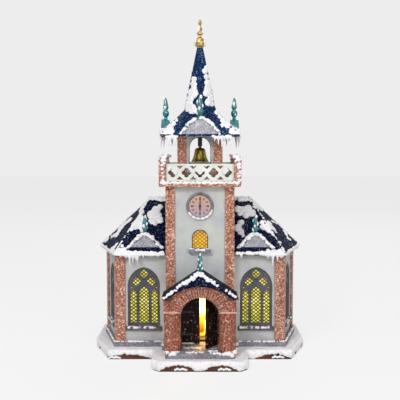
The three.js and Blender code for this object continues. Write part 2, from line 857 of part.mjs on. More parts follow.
function dormer() {
  const slope = (ridgeRise - eaveThickness) / (naveDepth / 2 + eaveOverhang);
  const drop = 40;
  const under = [
    vector(-drop, -drop * slope),
    vector(drop, drop * slope),
    vector(drop, -2 * drop),
    vector(-drop, -2 * drop),
  ];
  const clearance = seatGap * Math.hypot(1, slope);
  const seat = crossways([...under].reverse(), -gableWidth, gableWidth).translate(0, 0, clearance);
  return cut(gable(dormerWidth, dormerHeight, dormerFullness, smallFinialHeight), seat);
}

// Tower

function towerShell() {
  const shell = prism(square(towerWallHalf), plinthTop, towerTop);
  const half = towerWallHalf + 1;
  const doorway = roundArch(porchArchWidth - 2 * doorStop, plinthTop - 1, porchArchSpringing);
  const lancet = roundArch(lancetWidth, lancetFoot, lancetFoot + lancetHeight - lancetWidth / 2, 8);
  const passage = roundArch(lightPassageWidth, lightPassageFoot, lightPassageTop - lightPassageWidth / 2);
  const drum = rod(clockDrumDiameter / 2 + seatGap, 0, half, 24).rotateX(Math.PI / 2);
  return cut(
    shell,
    prism(square(towerInnerHalf), plinthTop - 1, towerTop + 1),
    upright(doorway, -half, 0),
    upright(lancet, -half, 0),
    drum.translate(0, 0, clockHeight),
    upright(passage, 0, half),
    crossways(passage, -half, half),
  );
}

function clockCase() {
  const outer = bezelDiameter / 2;
  const dial = dialDiameter / 2 + seatGap;
  const profile = [
    [0, -clockDrumDepth], [clockDrumDiameter / 2, -clockDrumDepth], [clockDrumDiameter / 2, seatGap],
    [outer, seatGap], [outer, 1.6], [outer - 1.4, bezelProud], [dial + 0.8, bezelProud], [dial, 2],
    [dial, 0.5], [arborDiameter / 2, 0.5], [arborDiameter / 2, bezelProud - 0.1], [0, bezelProud - 0.1],
  ];
  return turned(profile, 20).rotateX(Math.PI / 2);
}

function clockDial() {
  const inner = arborDiameter / 2 + runningGap;
  const outer = dialDiameter / 2;
  const profile = [[inner, 0.7], [outer, 0.7], [outer, 1.2], [inner, 1.2], [inner, 0.7]];
  return turned(profile, 20).rotateX(Math.PI / 2);
}

// A hand on its hub; it points up and lies between two distances in front of the wall.
function clockHand(length, width, near) {
  const hub = rod(width, near, near + handThickness).rotateX(Math.PI / 2);
  const blade = upright(
    [
      vector(-width / 2, -width),
      vector(width / 2, -width),
      vector(width / 3, length),
      vector(-width / 3, length),
    ],
    -near - handThickness, -near,
  );
  const bore = rod(arborDiameter / 2 + runningGap, near - 1, near + 2).rotateX(Math.PI / 2);
  return cut(join(hub, blade), bore);
}

function lancetPane() {
  const half = lancetWidth / 2 + paneLap;
  const top = lancetFoot + lancetHeight + paneLap;
  const back = -towerInnerHalf + seatGap;
  return upright(roundArch(2 * half, lancetFoot - paneLap, top - half, 8), back, back + paneThickness);
}

function lancetSill() {
  const face = -towerWallHalf - seatGap;
  const half = lancetSillWidth / 2;
  return block(
    -half, half, face - lancetSillProud, face, lancetFoot - 1 - lancetSillHeight, lancetFoot - 1,
  );
}

// Balcony

function balconyDeck() {
  const half = deckWidth / 2;
  const slab = prism(square(half), towerTop, deckTop);
  const posts = square(half - postWidth / 2).map((middle) => {
    const radius = postWidth / 2;
    const shoulder = deckTop + postHeight - radius * 0.8;
    const shaft = block(-radius, radius, -radius, radius, deckTop - 1, shoulder);
    const dome = new THREE.SphereGeometry(radius * 1.02, 8, 6).scale(1, 1, 0.8);
    return join(shaft, dome.rotateZ(0.1).translate(0, 0, shoulder)).translate(middle.x, middle.y, 0);
  });
  return join(slab, ...posts);
}

// A pierced rail: a row of quatrefoils with small triangles between them.
function balconyRail() {
  const length = deckWidth - 2 * postWidth - 2 * seatGap;
  const foot = deckTop + seatGap;
  const top = foot + railHeight;
  const middle = (foot + top) / 2;
  const pitch = length / railFoils;
  const holes = [];
  for (let i = 0; i < railFoils; i += 1) {
    holes.push(quatrefoil((i - (railFoils - 1) / 2) * pitch, middle, railFoilWidth));
  }
  const half = pitch * 0.26;
  const edge = railHeight / 2 - 2.6;
  for (let i = 1; i < railFoils; i += 1) {
    const x = (i - railFoils / 2) * pitch;
    const triangle = [
      vector(x - half, middle + edge),
      vector(x, middle + edge - half),
      vector(x + half, middle + edge),
    ];
    holes.push(triangle);
    holes.push(triangle.map((point) => vector(point.x, 2 * middle - point.y)).reverse());
  }
  const outline = [
    vector(-length / 2, foot), vector(length / 2, foot), vector(length / 2, top), vector(-length / 2, top),
  ];
  const face = -deckWidth / 2 + (postWidth - railThickness) / 2;
  return pierced(outline, face, face + railThickness, holes);
}

// Belfry and bell

function belfry() {
  const half = belfryWidth / 2;
  const wallHalf = half - belfryPierProud;
  const piers = square(half - belfryPierWidth / 2).map((middle) => {
    return prism(moved(square(belfryPierWidth / 2), middle.x, middle.y), deckTop, belfryTop);
  });
  const room = prism(square(wallHalf - wallThickness), deckTop - 1, belfryTop + 1);
  const springing = belfryTop - belfryArchRise - belfryArchWidth / 2;
  const arch = roundArch(belfryArchWidth, deckTop + belfryParapet, springing);
  return cut(
    join(prism(square(wallHalf), deckTop, belfryTop), ...piers),
    room,
    upright(arch, -half - 1, half + 1),
    crossways(arch, -half - 1, half + 1),
  );
}

const bellPinHeight = belfryTop - bellPinDrop;
const bellTop = bellPinHeight - bellLugRadius - 1;
const bellLip = bellTop - bellHeight;

// A ceiling plate with two ears that carry the bell's pin.
function bellHanger() {
  const earGap = bellLugThickness / 2 + runningGap;
  const top = belfryTop - seatGap;
  const ear = (side) => {
    const [front, back] = [side * earGap, side * (earGap + bellEarThickness)].sort((a, b) => a - b);
    return join(
      block(-bellLugRadius, bellLugRadius, front, back, bellPinHeight, top - 1),
      rod(bellLugRadius, -back, -front).rotateX(Math.PI / 2).translate(0, 0, bellPinHeight),
    );
  };
  const pin = rod(bellPinDiameter / 2, -earGap - 1, earGap + 1).rotateX(Math.PI / 2);
  const half = hangerPlateWidth / 2;
  const plate = block(-half, half, -half, half, top - hangerPlateThickness, top);
  return join(plate, ear(-1), ear(1), pin.translate(0, 0, bellPinHeight));
}

const clapperPinHeight = bellTop - bellWall - clapperEyeRadius - 0.9;

// The bell with its hanging lug outside and the clapper's staple inside.
function bell() {
  const rim = bellDiameter / 2;
  const outer = [
    [0, 0], [rim - bellWall, 0], [rim, bellHeight * 0.03], [rim * 0.9, bellHeight * 0.14],
    [rim * 0.76, bellHeight * 0.34], [rim * 0.66, bellHeight * 0.56], [rim * 0.6, bellHeight * 0.78],
    [rim * 0.52, bellHeight * 0.92], [rim * 0.36, bellHeight * 0.985], [0, bellHeight],
  ];
  const shell = turned(outer, 16);
  const inside = outer.slice(3, 8).map(([radius, height]) => [radius - bellWall, height - bellWall * 0.4]);
  const mouth = rim - bellWall;
  const inner = [[0, -1], [mouth, -1], [mouth - 0.1, 0.8], ...inside, [0, bellHeight - bellWall]];
  const cup = cut(shell, turned(inner, 16)).translate(0, 0, bellLip);
  const half = bellLugThickness / 2;
  const eye = rod(bellLugRadius, -half, half).rotateX(Math.PI / 2).translate(0, 0, bellPinHeight);
  const neck = block(-2.4, 2.4, -half, half, bellTop - 1, bellPinHeight);
  const bore = rod(bellPinDiameter / 2 + runningGap, -half - 1, half + 1).rotateX(Math.PI / 2);
  const stapleReach = stapleGap / 2 + stapleLeg;
  const legHalf = clapperPinDiameter / 2 + 0.2;
  const legs = [-1, 1].map((side) => {
    const [front, back] = [side * stapleGap / 2, side * stapleReach].sort((a, b) => a - b);
    return block(-legHalf, legHalf, front, back, clapperPinHeight - legHalf, bellTop - bellWall / 2);
  });
  const pin = rod(clapperPinDiameter / 2, -stapleReach, stapleReach).rotateX(Math.PI / 2);
  const staple = join(...legs, pin.translate(0, 0, clapperPinHeight));
  return join(cut(join(cup, eye, neck), bore.translate(0, 0, bellPinHeight)), staple);
}

function bellClapper() {
  const ball = clapperBallDiameter / 2;
  const half = clapperEyeThickness / 2;
  const eye = rod(clapperEyeRadius, -half, half).rotateX(Math.PI / 2);
  const profile = [
    [0, -clapperLength - ball], [ball * 0.7, -clapperLength - ball * 0.7], [ball, -clapperLength],
    [ball * 0.7, -clapperLength + ball * 0.7], [0.8, -clapperLength + ball], [0.7, -clapperEyeRadius + 0.5],
    [0, -clapperEyeRadius + 0.5],
  ];
  const bore = rod(clapperPinDiameter / 2 + runningGap, -2, 2).rotateX(Math.PI / 2);
  return cut(join(eye, turned(profile, 10)), bore).translate(0, 0, clapperPinHeight);
}

// Spire

function octagon(width, height) {
  const radius = width / 2 / Math.cos(Math.PI / 8);
  return arc(0, 0, radius, 22.5, 337.5, 7).map((point) => [point.x, point.y, height]);
}

function spireBody() {
  const eave = square(spireEaveWidth / 2);
  const skirt = hull([
    ...eave.map((point) => [point.x, point.y, belfryTop]),
    ...eave.map((point) => [point.x, point.y, belfryTop + spireEaveThickness]),
    ...octagon(spireFootWidth, spireBreak),
  ]);
  const shaft = hull([
    ...octagon(spireFootWidth - 1, spireBreak - 1),
    ...octagon(spireFootWidth, spireBreak),
    ...octagon(spireTipWidth, spireTop),
  ]);
  return join(skirt, shaft);
}

// One gable on its eave, cut to sit on the skirt's slope.
function spireGable() {
  const face = -spireEaveWidth / 2 - 0.4;
  const foot = belfryTop + spireEaveThickness + seatGap;
  const slope = skirtHeight / ((spireEaveWidth - spireFootWidth) / 2);
  const seat = spireBody().translate(0, 0, seatGap * Math.hypot(1, slope));
  const whole = gable(gableWidth, gableHeight, gableFullness, finialHeight);
  return cut(whole.translate(0, face, foot), seat);
}

function topFinial() {
  const profile = [
    [0, 0], [4.2, 0], [4.2, 0.8], [6.6, 3], [7.7, 6], [7.7, 9.4], [6.4, 12.6], [3.6, 14.8], [2.4, 15.6],
    [2.4, 18], [4.6, 20], [4.6, 21.2], [3.2, 22.6], [2.2, 24.5], [3.4, 26.4], [1.6, 31.4], [1.5, 32.6],
    [2.3, 34.6], [2.2, 37.6], [1.2, 39.4], [0, 40.2],
  ];
  return turned(fitted(profile, topFinialHeight), 12).translate(0, 0, spireTop + seatGap);
}

// Porch, about the middle of the tower's front

const soffitRise = soffitCrown - soffitFoot;
const soffitRadius = (soffitWidth ** 2 / 4 + soffitRise ** 2) / (2 * soffitRise);
const soffitCentre = soffitCrown - soffitRadius;

// The soffit's arc from right to left, moved down by a gap.
function soffit(gap, steps = 12) {
  const sweep = THREE.MathUtils.radToDeg(Math.asin(soffitWidth / 2 / soffitRadius));
  return arc(0, soffitCentre, soffitRadius - gap, 90 - sweep, 90 + sweep, steps);
}

function porchRoof() {
  const eave = porchRoofWidth / 2;
  const outline = [
    vector(eave, porchEaveHeight - porchEaveLip),
    vector(eave, porchEaveHeight),
    vector(0, porchApexHeight),
    vector(-eave, porchEaveHeight),
    vector(-eave, porchEaveHeight - porchEaveLip),
    ...soffit(0).reverse(),
  ];
  const roof = upright(outline, -porchDepth, -seatGap);
  const tip = finial(smallFinialHeight).translate(0, -porchDepth + porchFinialSetback, porchApexHeight + 1);
  return join(roof, tip);
}

const columnX = porchArchWidth / 2 + columnDiameter / 2;

// The brick front with its arch, on two round columns that bear square blocks, and the side walls.
function porchFront() {
  const front = -porchDepth + porchWallSetback;
  const back = front + porchWallThickness;
  const impost = plinthTop + columnHeight - impostDrop;
  const foot = [vector(-soffitWidth / 2 + 0.1, impost), vector(soffitWidth / 2 - 0.1, impost)];
  const radius = columnDiameter / 2;
  const columnY = front + radius;
  const band = (height) => [
    [radius, height - columnBandWidth / 2], [radius + columnBandProud, height - columnBandWidth / 2],
    [radius + columnBandProud, height + columnBandWidth / 2], [radius, height + columnBandWidth / 2],
  ];
  const top = columnHeight - impostDrop + columnBandWidth / 2;
  const profile = [
    [0, 0], [radius, 0], ...band(lowerBandHeight), ...band(columnHeight - impostDrop).slice(0, 3), [0, top],
  ];
  const sideTop = soffitFoot - porchSideDrop;
  const parts = [-1, 1].flatMap((side) => {
    const inner = side * soffitWidth / 2;
    const [left, right] = [inner, inner + side * porchSideThickness].sort((a, b) => a - b);
    const x = side * columnX;
    return [
      block(left, right, back - 1, -plinthReach, plinthTop, sideTop),
      turned(profile, 20).translate(x, columnY, plinthTop),
      block(x - radius, x + radius, front, columnY + radius, impost, plinthTop + columnHeight),
    ];
  });
  const solidFront = join(upright([...foot, ...soffit(seatGap)], front, back), ...parts);
  const doorway = roundArch(porchArchWidth, plinthTop - 1, porchArchSpringing, 16);
  const half = porchArchWidth / 2;
  const swing = block(-half, half, back, columnY + 2 * radius, plinthTop - 1, plinthTop + columnHeight);
  return cut(solidFront, upright(doorway, -porchDepth, columnY + 2 * radius), swing);
}

// Doors, about the middle of the tower's front

const leafFace = -doorThickness - seatGap; // y of the leaves' outer face against the tower wall at y = 0
const wallFace = towerStripProud; // y of the grey wall
const hingeX = porchArchWidth / 2 + 1.1;
const hingeY = leafFace - knuckleRadius - 0.1 + towerStripProud;
const doorFace = leafFace + towerStripProud;
const hingeHeights = [plinthTop + lowerHingeHeight, plinthTop + upperHingeHeight];

// An arched frame on the tower wall, with four pintles that the leaves hang on.
function doorFrame() {
  const half = porchArchWidth / 2;
  const outer = roundArch(2 * (half + frameWidth), plinthTop, porchArchSpringing, 16);
  const opening = roundArch(2 * half, plinthTop - 1, porchArchSpringing, 16);
  const face = doorFace + frameSetback;
  const frame = cut(upright(outer, face, wallFace - seatGap), upright(opening, face - 1, wallFace + 1));
  const pintles = [-1, 1].flatMap((side) => hingeHeights.map((height) => {
    const arm = block(-pintleArm, pintleArm, 0, face + 1 - hingeY, -2, 0);
    const seat = rod(knuckleRadius, -2, 0, 8);
    const pin = rod(pintleDiameter / 2, -1, pintleHeight - 2, 8);
    return join(arm, seat, pin).translate(side * hingeX, hingeY, height);
  }));
  return join(frame, ...pintles);
}

// One leaf about its hinge axis, shut; side is -1 for the left leaf and 1 for the right.
function doorLeaf(side) {
  const half = porchArchWidth / 2 - doorGap;
  const arch = roundArch(2 * half, plinthTop + doorSillGap, porchArchSpringing, 16);
  const face = doorFace - hingeY;
  const slab = upright(arch, face, face + doorThickness - 0.2).translate(-side * hingeX, 0, 0);
  const away = -side * hingeX - side * half * 2;
  const [left, right] = [away, -side * hingeX + side * doorGap].sort((a, b) => a - b);
  const leaf = cut(slab, block(left, right, face - 1, face + doorThickness + 1, 0, porchEaveHeight + 20));
  const eyes = hingeHeights.flatMap((height) => {
    const foot = height + runningGap;
    const [from, to] = [0, -side * strapLength].sort((a, b) => a - b);
    const middle = foot + knuckleHeight / 2;
    return [
      rod(knuckleRadius, foot, foot + knuckleHeight, 12),
      block(from, to, face - strapThickness, face + 0.2, middle - strapWidth / 2, middle + strapWidth / 2),
    ];
  });
  const bores = hingeHeights.map((height) => {
    return rod(pintleDiameter / 2 + runningGap, height - 1, height + knuckleHeight + 2, 10);
  });
  const ring = new THREE.TorusGeometry(ringRadius, ringWire, 5, 12).rotateX(Math.PI / 2);
  const ringX = -side * (hingeX - ringInset);
  ring.translate(ringX, face - ringWire * 0.6, plinthTop + ringHeight);
  return cut(join(leaf, ...eyes, ring), ...bores);
}

// Lamp

function lampHolder() {
  const foot = bayTop + batteryWall + seatGap;
  const radius = lampHolderDiameter / 2;
  const socket = lampDiameter / 2 - 1 + seatGap;
  const top = foot + lampHolderHeight;
  const profile = [
    [0, foot], [radius + 3, foot], [radius + 3, foot + 2], [radius, foot + 3], [radius, top], [socket, top],
    [socket, top - socketDepth], [0, top - socketDepth],
  ];
  return turned(profile, 16);
}

function lampBulb() {
  const foot = bayTop + batteryWall + lampHolderHeight - socketDepth + 2 * seatGap;
  const radius = lampDiameter / 2;
  const top = foot + socketDepth + lampHeight;
  const profile = [
    [0, foot], [radius - 1, foot], [radius - 1, foot + socketDepth + 0.4],
    [radius, foot + socketDepth + 2], [radius, top - 5],
    [radius * 0.7, top - 1.4], [0, top],
  ];
  return turned(profile, 14);
}

// The church

const church = new THREE.Group();

const snow = cut(snowBlanket(), footprint(seatGap, -1, plinthTop + 5));
church.add(piece('base_board', baseBoard(), finishes.board()));
church.add(piece('ground_snow', snow, finishes.snow()));
church.add(piece('nave_plinth', plinth(), finishes.granite()));

const step = prism(stepPlan(0, stepBack), boardThickness, plinthTop);
church.add(piece('entrance_step', step, finishes.granite()));

const nave = assembly(0, naveY, 0);
church.add(nave);
nave.add(frontWall(-1, 'left'), frontWall(1, 'right'));
nave.add(sideWall(5, 'left'), sideWall(1, 'right'));
nave.add(piece('nave_rear_wall', rearWall(), finishes.wall()));
[['front_left', 0], ['front_right', 1], ['side_right', 2], ['side_left', 5]].forEach(([name, index]) => {
  const strip = cornerStrip(naveOutline, index, pilasterReach, seatGap, pilasterProud);
  nave.add(piece('nave_pilaster_' + name, prism(strip, plinthTop, naveWallTop), finishes.brick()));
});
nave.add(piece('nave_roof', naveRoof(), finishes.navy()));
const dormerY = -naveDepth / 2 - eaveOverhang + dormerSetback;
const dormerFoot = naveWallTop + eaveThickness
  + dormerSetback * (ridgeRise - eaveThickness) / (naveDepth / 2 + eaveOverhang);
[['left', -1], ['right', 1]].forEach(([name, side]) => {
  const place = assembly(side * (frontWindowX - dormerShift), dormerY, dormerFoot);
  place.add(piece('dormer_' + name, dormer(), finishes.gable()));
  nave.add(place);
});

const tower = assembly(0, towerY, 0);
church.add(tower);
tower.add(piece('tower_shell', towerShell(), finishes.wall()));
['front_left', 'front_right', 'rear_right', 'rear_left'].forEach((name, index) => {
  const reach = towerStripWidth - towerStripProud;
  const strip = cornerStrip(square(towerWallHalf), index, reach, seatGap, towerStripProud);
  tower.add(piece('tower_pilaster_' + name, prism(strip, plinthTop, towerTop), finishes.brick()));
});
tower.add(piece('tower_window_pane', lancetPane(), finishes.pane()));
tower.add(piece('tower_window_sill', lancetSill(), finishes.granite()));

const clock = assembly(0, -towerWallHalf, clockHeight);
tower.add(clock);
const hourPlane = 1.2 + runningGap;
const minutePlane = hourPlane + handThickness + runningGap;
clock.add(piece('clock_case', clockCase(), finishes.bezel()));
clock.add(piece('clock_dial', clockDial(), finishes.dial()));
clock.add(piece('minute_hand', clockHand(minuteHandLength, 1.5, minutePlane), finishes.hand()));
const hourHand = piece('hour_hand', clockHand(hourHandLength, 1.9, hourPlane), finishes.hand());
hourHand.rotation.y = Math.PI;
clock.add(hourHand);

tower.add(piece('balcony_deck', balconyDeck(), finishes.brick()));
['front', 'right', 'rear', 'left'].forEach((name, quarter) => {
  const rail = assembly(0, 0, 0, 90 * quarter);
  rail.add(piece('balcony_rail_' + name, balconyRail(), finishes.rail()));
  rail.add(piece('spire_gable_' + name, spireGable(), finishes.gable()));
  tower.add(rail);
});
tower.add(piece('belfry', belfry(), finishes.brick()));
tower.add(piece('bell_hanger', bellHanger(), finishes.plastic()));
tower.add(piece('bell', bell(), finishes.gold()));
tower.add(piece('bell_clapper', bellClapper(), finishes.gold()));
tower.add(piece('spire', spireBody(), finishes.navy()));
tower.add(piece('top_finial', topFinial(), finishes.gold()));
tower.add(piece('battery_box', batteryBox(), finishes.plastic()));
tower.add(piece('battery_cover', batteryCover(), finishes.plastic()));
tower.add(piece('power_switch', switchKey(), finishes.plastic()));
tower.add(piece('lamp_holder', lampHolder(), finishes.plastic()));
tower.add(piece('lamp_bulb', lampBulb(), finishes.lamp()));

const porch = assembly(0, towerFront, 0);
church.add(porch);
porch.add(piece('porch_roof', porchRoof(), finishes.navy()));
porch.add(piece('porch_front', porchFront(), finishes.porchBrick()));
porch.add(piece('door_frame', doorFrame(), finishes.door()));
const leftDoor = assembly(-hingeX, hingeY, 0);
leftDoor.add(piece('door_left', doorLeaf(-1), finishes.door()));
const rightDoor = assembly(hingeX, hingeY, 0, rightDoorAjar);
rightDoor.add(piece('door_right', doorLeaf(1), finishes.door()));
porch.add(leftDoor, rightDoor);

export default church;
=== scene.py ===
"""A snowed-in wooden Christmas village church: painted and glittered boards, leaded windows lit from inside."""
import math
import random
import bmesh
import bpy
from mathutils import Matrix, Vector, noise


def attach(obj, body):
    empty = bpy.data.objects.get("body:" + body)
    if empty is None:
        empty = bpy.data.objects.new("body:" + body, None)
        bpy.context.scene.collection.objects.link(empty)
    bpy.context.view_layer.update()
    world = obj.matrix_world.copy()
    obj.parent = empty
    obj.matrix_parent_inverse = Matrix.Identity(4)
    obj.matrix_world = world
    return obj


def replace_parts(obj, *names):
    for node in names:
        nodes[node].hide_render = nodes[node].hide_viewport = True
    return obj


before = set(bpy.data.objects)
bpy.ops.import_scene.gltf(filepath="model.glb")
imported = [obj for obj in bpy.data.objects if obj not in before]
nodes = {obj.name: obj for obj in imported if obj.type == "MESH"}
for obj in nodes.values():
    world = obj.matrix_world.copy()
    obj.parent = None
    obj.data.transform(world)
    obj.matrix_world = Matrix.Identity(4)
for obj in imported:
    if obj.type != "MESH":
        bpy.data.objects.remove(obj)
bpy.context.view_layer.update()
MM = 0.001
TOWER_Y = -24.25  # the tower's axis, mm from the middle of the base
NAVE_Y = 27.45  # the nave's ridge
NAVE_FRONT = -54.25

# Camera

PHOTO = 400  # pixels across the photograph
FOCUS = 690.0  # the lens in pixels of the photograph
LEVEL = 53  # pixels from the middle of the photograph up to the height of the camera
SENSOR = 36  # mm
EYE = Vector((0.0, -1028.05, 299.0))  # the camera, in mm
PITCH = math.atan(LEVEL / FOCUS)

camera_data = bpy.data.cameras.new("camera")
camera_data.sensor_width = SENSOR
camera_data.lens = SENSOR * FOCUS / PHOTO
camera_data.clip_start = 0.02
camera_data.clip_end = 30
camera = bpy.data.objects.new("camera", camera_data)
camera.location = EYE * MM
camera.rotation_euler = (math.pi / 2 - PITCH, 0, 0)
bpy.context.collection.objects.link(camera)
bpy.context.scene.camera = camera
bpy.context.scene.view_settings.view_transform = "Standard"


def pixel(point):
    """Where a point in mm falls in the photograph."""
    away = point - EYE
    deep = away.y * math.cos(PITCH) - away.z * math.sin(PITCH)
    high = away.y * math.sin(PITCH) + away.z * math.cos(PITCH)
    return PHOTO / 2 + FOCUS * away.x / deep, PHOTO / 2 - FOCUS * high / deep


def seen(u, v, y):
    """The point in mm at a depth y that falls on a pixel of the photograph."""
    rise = (PHOTO / 2 - v) / FOCUS
    away = y - EYE.y
    height = away * (rise * math.cos(PITCH) - math.sin(PITCH)) / (math.cos(PITCH) + rise * math.sin(PITCH))
    deep = away * math.cos(PITCH) - height * math.sin(PITCH)
    return Vector(((u - PHOTO / 2) / FOCUS * deep, y, EYE.z + height))


# Materials


def linear(code):
    """An sRGB hex colour as linear RGBA."""
    parts = [int(code[i:i + 2], 16) / 255 for i in (1, 3, 5)]
    return tuple(c / 12.92 if c <= 0.04045 else ((c + 0.055) / 1.055) ** 2.4 for c in parts) + (1.0,)


def add(tree, kind, inputs=None, stops=None, **settings):
    """One shader node with its own settings, its inputs (values, hex colours, nodes or sockets) and its ramp stops."""
    made = tree.nodes.new("ShaderNode" + kind)
    for key, value in settings.items():
        setattr(made, key, value)
    if stops:
        ramp = made.color_ramp
        while len(ramp.elements) < len(stops):
            ramp.elements.new(0.5)
        for element, (place, code) in zip(ramp.elements, stops):
            element.position = place
            element.color = linear(code)
    for key, value in (inputs or {}).items():
        named = (socket for socket in made.inputs if socket.name == key and socket.enabled)
        socket = made.inputs[key] if isinstance(key, int) else next(named)
        if isinstance(value, bpy.types.Node):
            value = next(s for s in value.outputs if s.enabled)
        if isinstance(value, bpy.types.NodeSocket):
            tree.links.new(value, socket)
        else:
            socket.default_value = linear(value) if isinstance(value, str) else value
    return made


def start(name, roughness=0.5, metallic=0.0, **shader):
    """A new material with its shader's own values: also its tree and its object coordinates, in metres."""
    material = bpy.data.materials.new(name)
    material.use_nodes = True
    tree = material.node_tree
    surface = tree.nodes["Principled BSDF"]
    surface.inputs["Roughness"].default_value = roughness
    surface.inputs["Metallic"].default_value = metallic
    for key, value in shader.items():
        surface.inputs[key.replace("_", " ")].default_value = linear(value) if isinstance(value, str) else value
    return material, tree, add(tree, "TexCoord").outputs["Object"]


def feed(tree, **sources):
    """Links nodes to the sockets of the principled shader."""
    surface = tree.nodes["Principled BSDF"]
    for key, node in sources.items():
        tree.links.new(next(s for s in node.outputs if s.enabled), surface.inputs[key.replace("_", " ")])


def per(millimetres):
    """The scale that gives a pattern this size."""
    return 1000.0 / millimetres


def clouds(tree, place, size, detail=2.0, roughness=0.5):
    """Noise of a size in mm."""
    return add(tree, "TexNoise", {"Vector": place, "Scale": per(size), "Detail": detail, "Roughness": roughness})


def cells(tree, place, size):
    """Three random values for each cell of a size in mm."""
    made = add(tree, "TexVoronoi", {"Vector": place, "Scale": per(size)})
    return add(tree, "SeparateColor", {"Color": made.outputs["Color"]}).outputs


def ranged(tree, value, low, high, first=0.0, last=1.0):
    """A value that is carried from the range first to last to the range low to high."""
    return add(tree, "MapRange", {"Value": value, "From Min": first, "From Max": last, "To Min": low, "To Max": high})


def bumpy(tree, height, strength, depth):
    """Relief of a depth in metres."""
    return add(tree, "Bump", {"Height": height, "Strength": strength, "Distance": depth})


def mixed(tree, share, first, second, **settings):
    """Two colours mixed by a share of the second."""
    return add(tree, "Mix", {"Factor": share, "A": first, "B": second}, data_type="RGBA", **settings)


def toned(tree, source, stops):
    """Colours along a value from 0 to 1."""
    return add(tree, "ValToRGB", {"Fac": source}, stops=stops)


def paint(name, base, light, dark, roughness, coat=0.0, grain=0.25, wear="#8a7f74", wear_amount=0.0):
    """Brushed craft paint over board: cloudy tone, fine brush grain and rubbed spots."""
    material, tree, place = start(name, roughness, Coat_Weight=coat, Coat_Roughness=0.2)
    cloud = clouds(tree, place, 26, 5.0, 0.6)
    tone = toned(tree, cloud, [(0.3, dark), (0.5, base), (0.72, light)])
    stretch = add(tree, "Mapping", {"Vector": place, "Scale": (1.0, 1.0, 0.12)})
    brush = clouds(tree, stretch, 1.1, 3.0)
    spots = clouds(tree, place, 5, 8.0, 0.7)
    rubbed = ranged(tree, spots, 0.0, wear_amount, 0.66, 0.74)
    worn = mixed(tree, rubbed, tone, wear)
    streak = mixed(tree, 0.12, worn, brush, blend_type="SOFT_LIGHT")
    uneven = ranged(tree, brush, roughness - 0.1, roughness + 0.14)
    bump = bumpy(tree, brush, grain, 0.0003)
    feed(tree, Base_Color=streak, Roughness=uneven, Normal=bump)
    return material


def glitter(name, stops, flake, shine, cloud_size=24.0, shade="#000000", shade_amount=0.35, relief=0.5, gleam=0.5):
    """Glitter flakes shaken over wet glue: every flake has its own tone, tilt and gloss.

    Craft glitter is 0.2 to 0.6 mm across; it is drawn coarser here, so that it shows.
    """
    material, tree, place = start(name, 0.45, Specular_IOR_Level=gleam)
    parts = cells(tree, place, flake)
    tone = toned(tree, parts[0], stops)
    cloud = clouds(tree, place, cloud_size, 4.0, 0.65)
    amount = ranged(tree, cloud, 0.0, shade_amount, 0.35, 0.7)
    colour = mixed(tree, amount, tone, shade)
    gloss = ranged(tree, parts[1], 0.25, 0.7)
    metal = ranged(tree, parts[2], 0.0, shine, 0.75, 0.8)
    bump = bumpy(tree, parts[2], relief, 0.0004)
    feed(tree, Base_Color=colour, Roughness=gloss, Metallic=metal, Normal=bump)
    return material


def metal(name, base, dark, roughness, tarnish=0.35):
    """Plated or lacquered metal: clouded tone, fine scratches, duller in patches. The default IOR is kept."""
    material, tree, place = start(name, roughness, 1.0)
    cloud = clouds(tree, place, 7, 6.0, 0.6)
    tone = toned(tree, cloud, [(0.35, dark), (0.62, base)])
    scratch = clouds(tree, place, 0.6, 2.0)
    dull = ranged(tree, cloud, roughness - 0.06, roughness + tarnish)
    bump = bumpy(tree, scratch, 0.12, 0.0002)
    feed(tree, Base_Color=tone, Roughness=dull, Normal=bump)
    return material


def snow_paste():
    """Textured snow paste: chalky, lumpy, matte, with fine sparkle and painted blue-grey shade in its hollows."""
    material, tree, place = start("snow_paste", 0.75, Subsurface_Weight=0.0)
    lumps = clouds(tree, place, 4.5, 6.0, 0.6)
    # Painted shade: the tone follows the same lumps as the bump, blue-grey in their hollows and white on their crowns.
    tone = toned(tree, lumps, [(0.3, "#dad9df"), (0.5, "#f0eef0"), (0.7, "#fbf9f8")])
    grit = clouds(tree, place, 0.8, 3.0)
    parts = cells(tree, place, 0.9)
    gloss = ranged(tree, parts[0], 0.8, 0.3, 0.9, 0.94)
    height = add(tree, "Math", {0: lumps, 1: grit}, operation="ADD")
    bump = bumpy(tree, height, 0.45, 0.0007)
    feed(tree, Base_Color=tone, Roughness=gloss, Normal=bump)
    return material


def granite():
    """Stone-effect spray paint: mid grey ground spattered with black and pale specks of about 0.5 mm."""
    material, tree, place = start("granite_spray", 0.75)
    cloud = clouds(tree, place, 14, 4.0)
    tone = toned(tree, cloud, [(0.35, "#686570"), (0.65, "#8b8892")])
    parts = cells(tree, place, 1.0)
    spatter = toned(tree, parts[0],
                    [(0.0, "#34323a"), (0.12, "#5c5a64"), (0.2, "#85828c"), (0.82, "#8a8790"), (0.92, "#b9b7bf")])
    spatter.color_ramp.interpolation = "CONSTANT"
    colour = mixed(tree, 0.6, tone, spatter)
    bump = bumpy(tree, parts[1], 0.25, 0.0003)
    feed(tree, Base_Color=colour, Normal=bump)
    return material


DIAMOND = (6.0, 5.0)  # width and height of a leaded diamond, mm


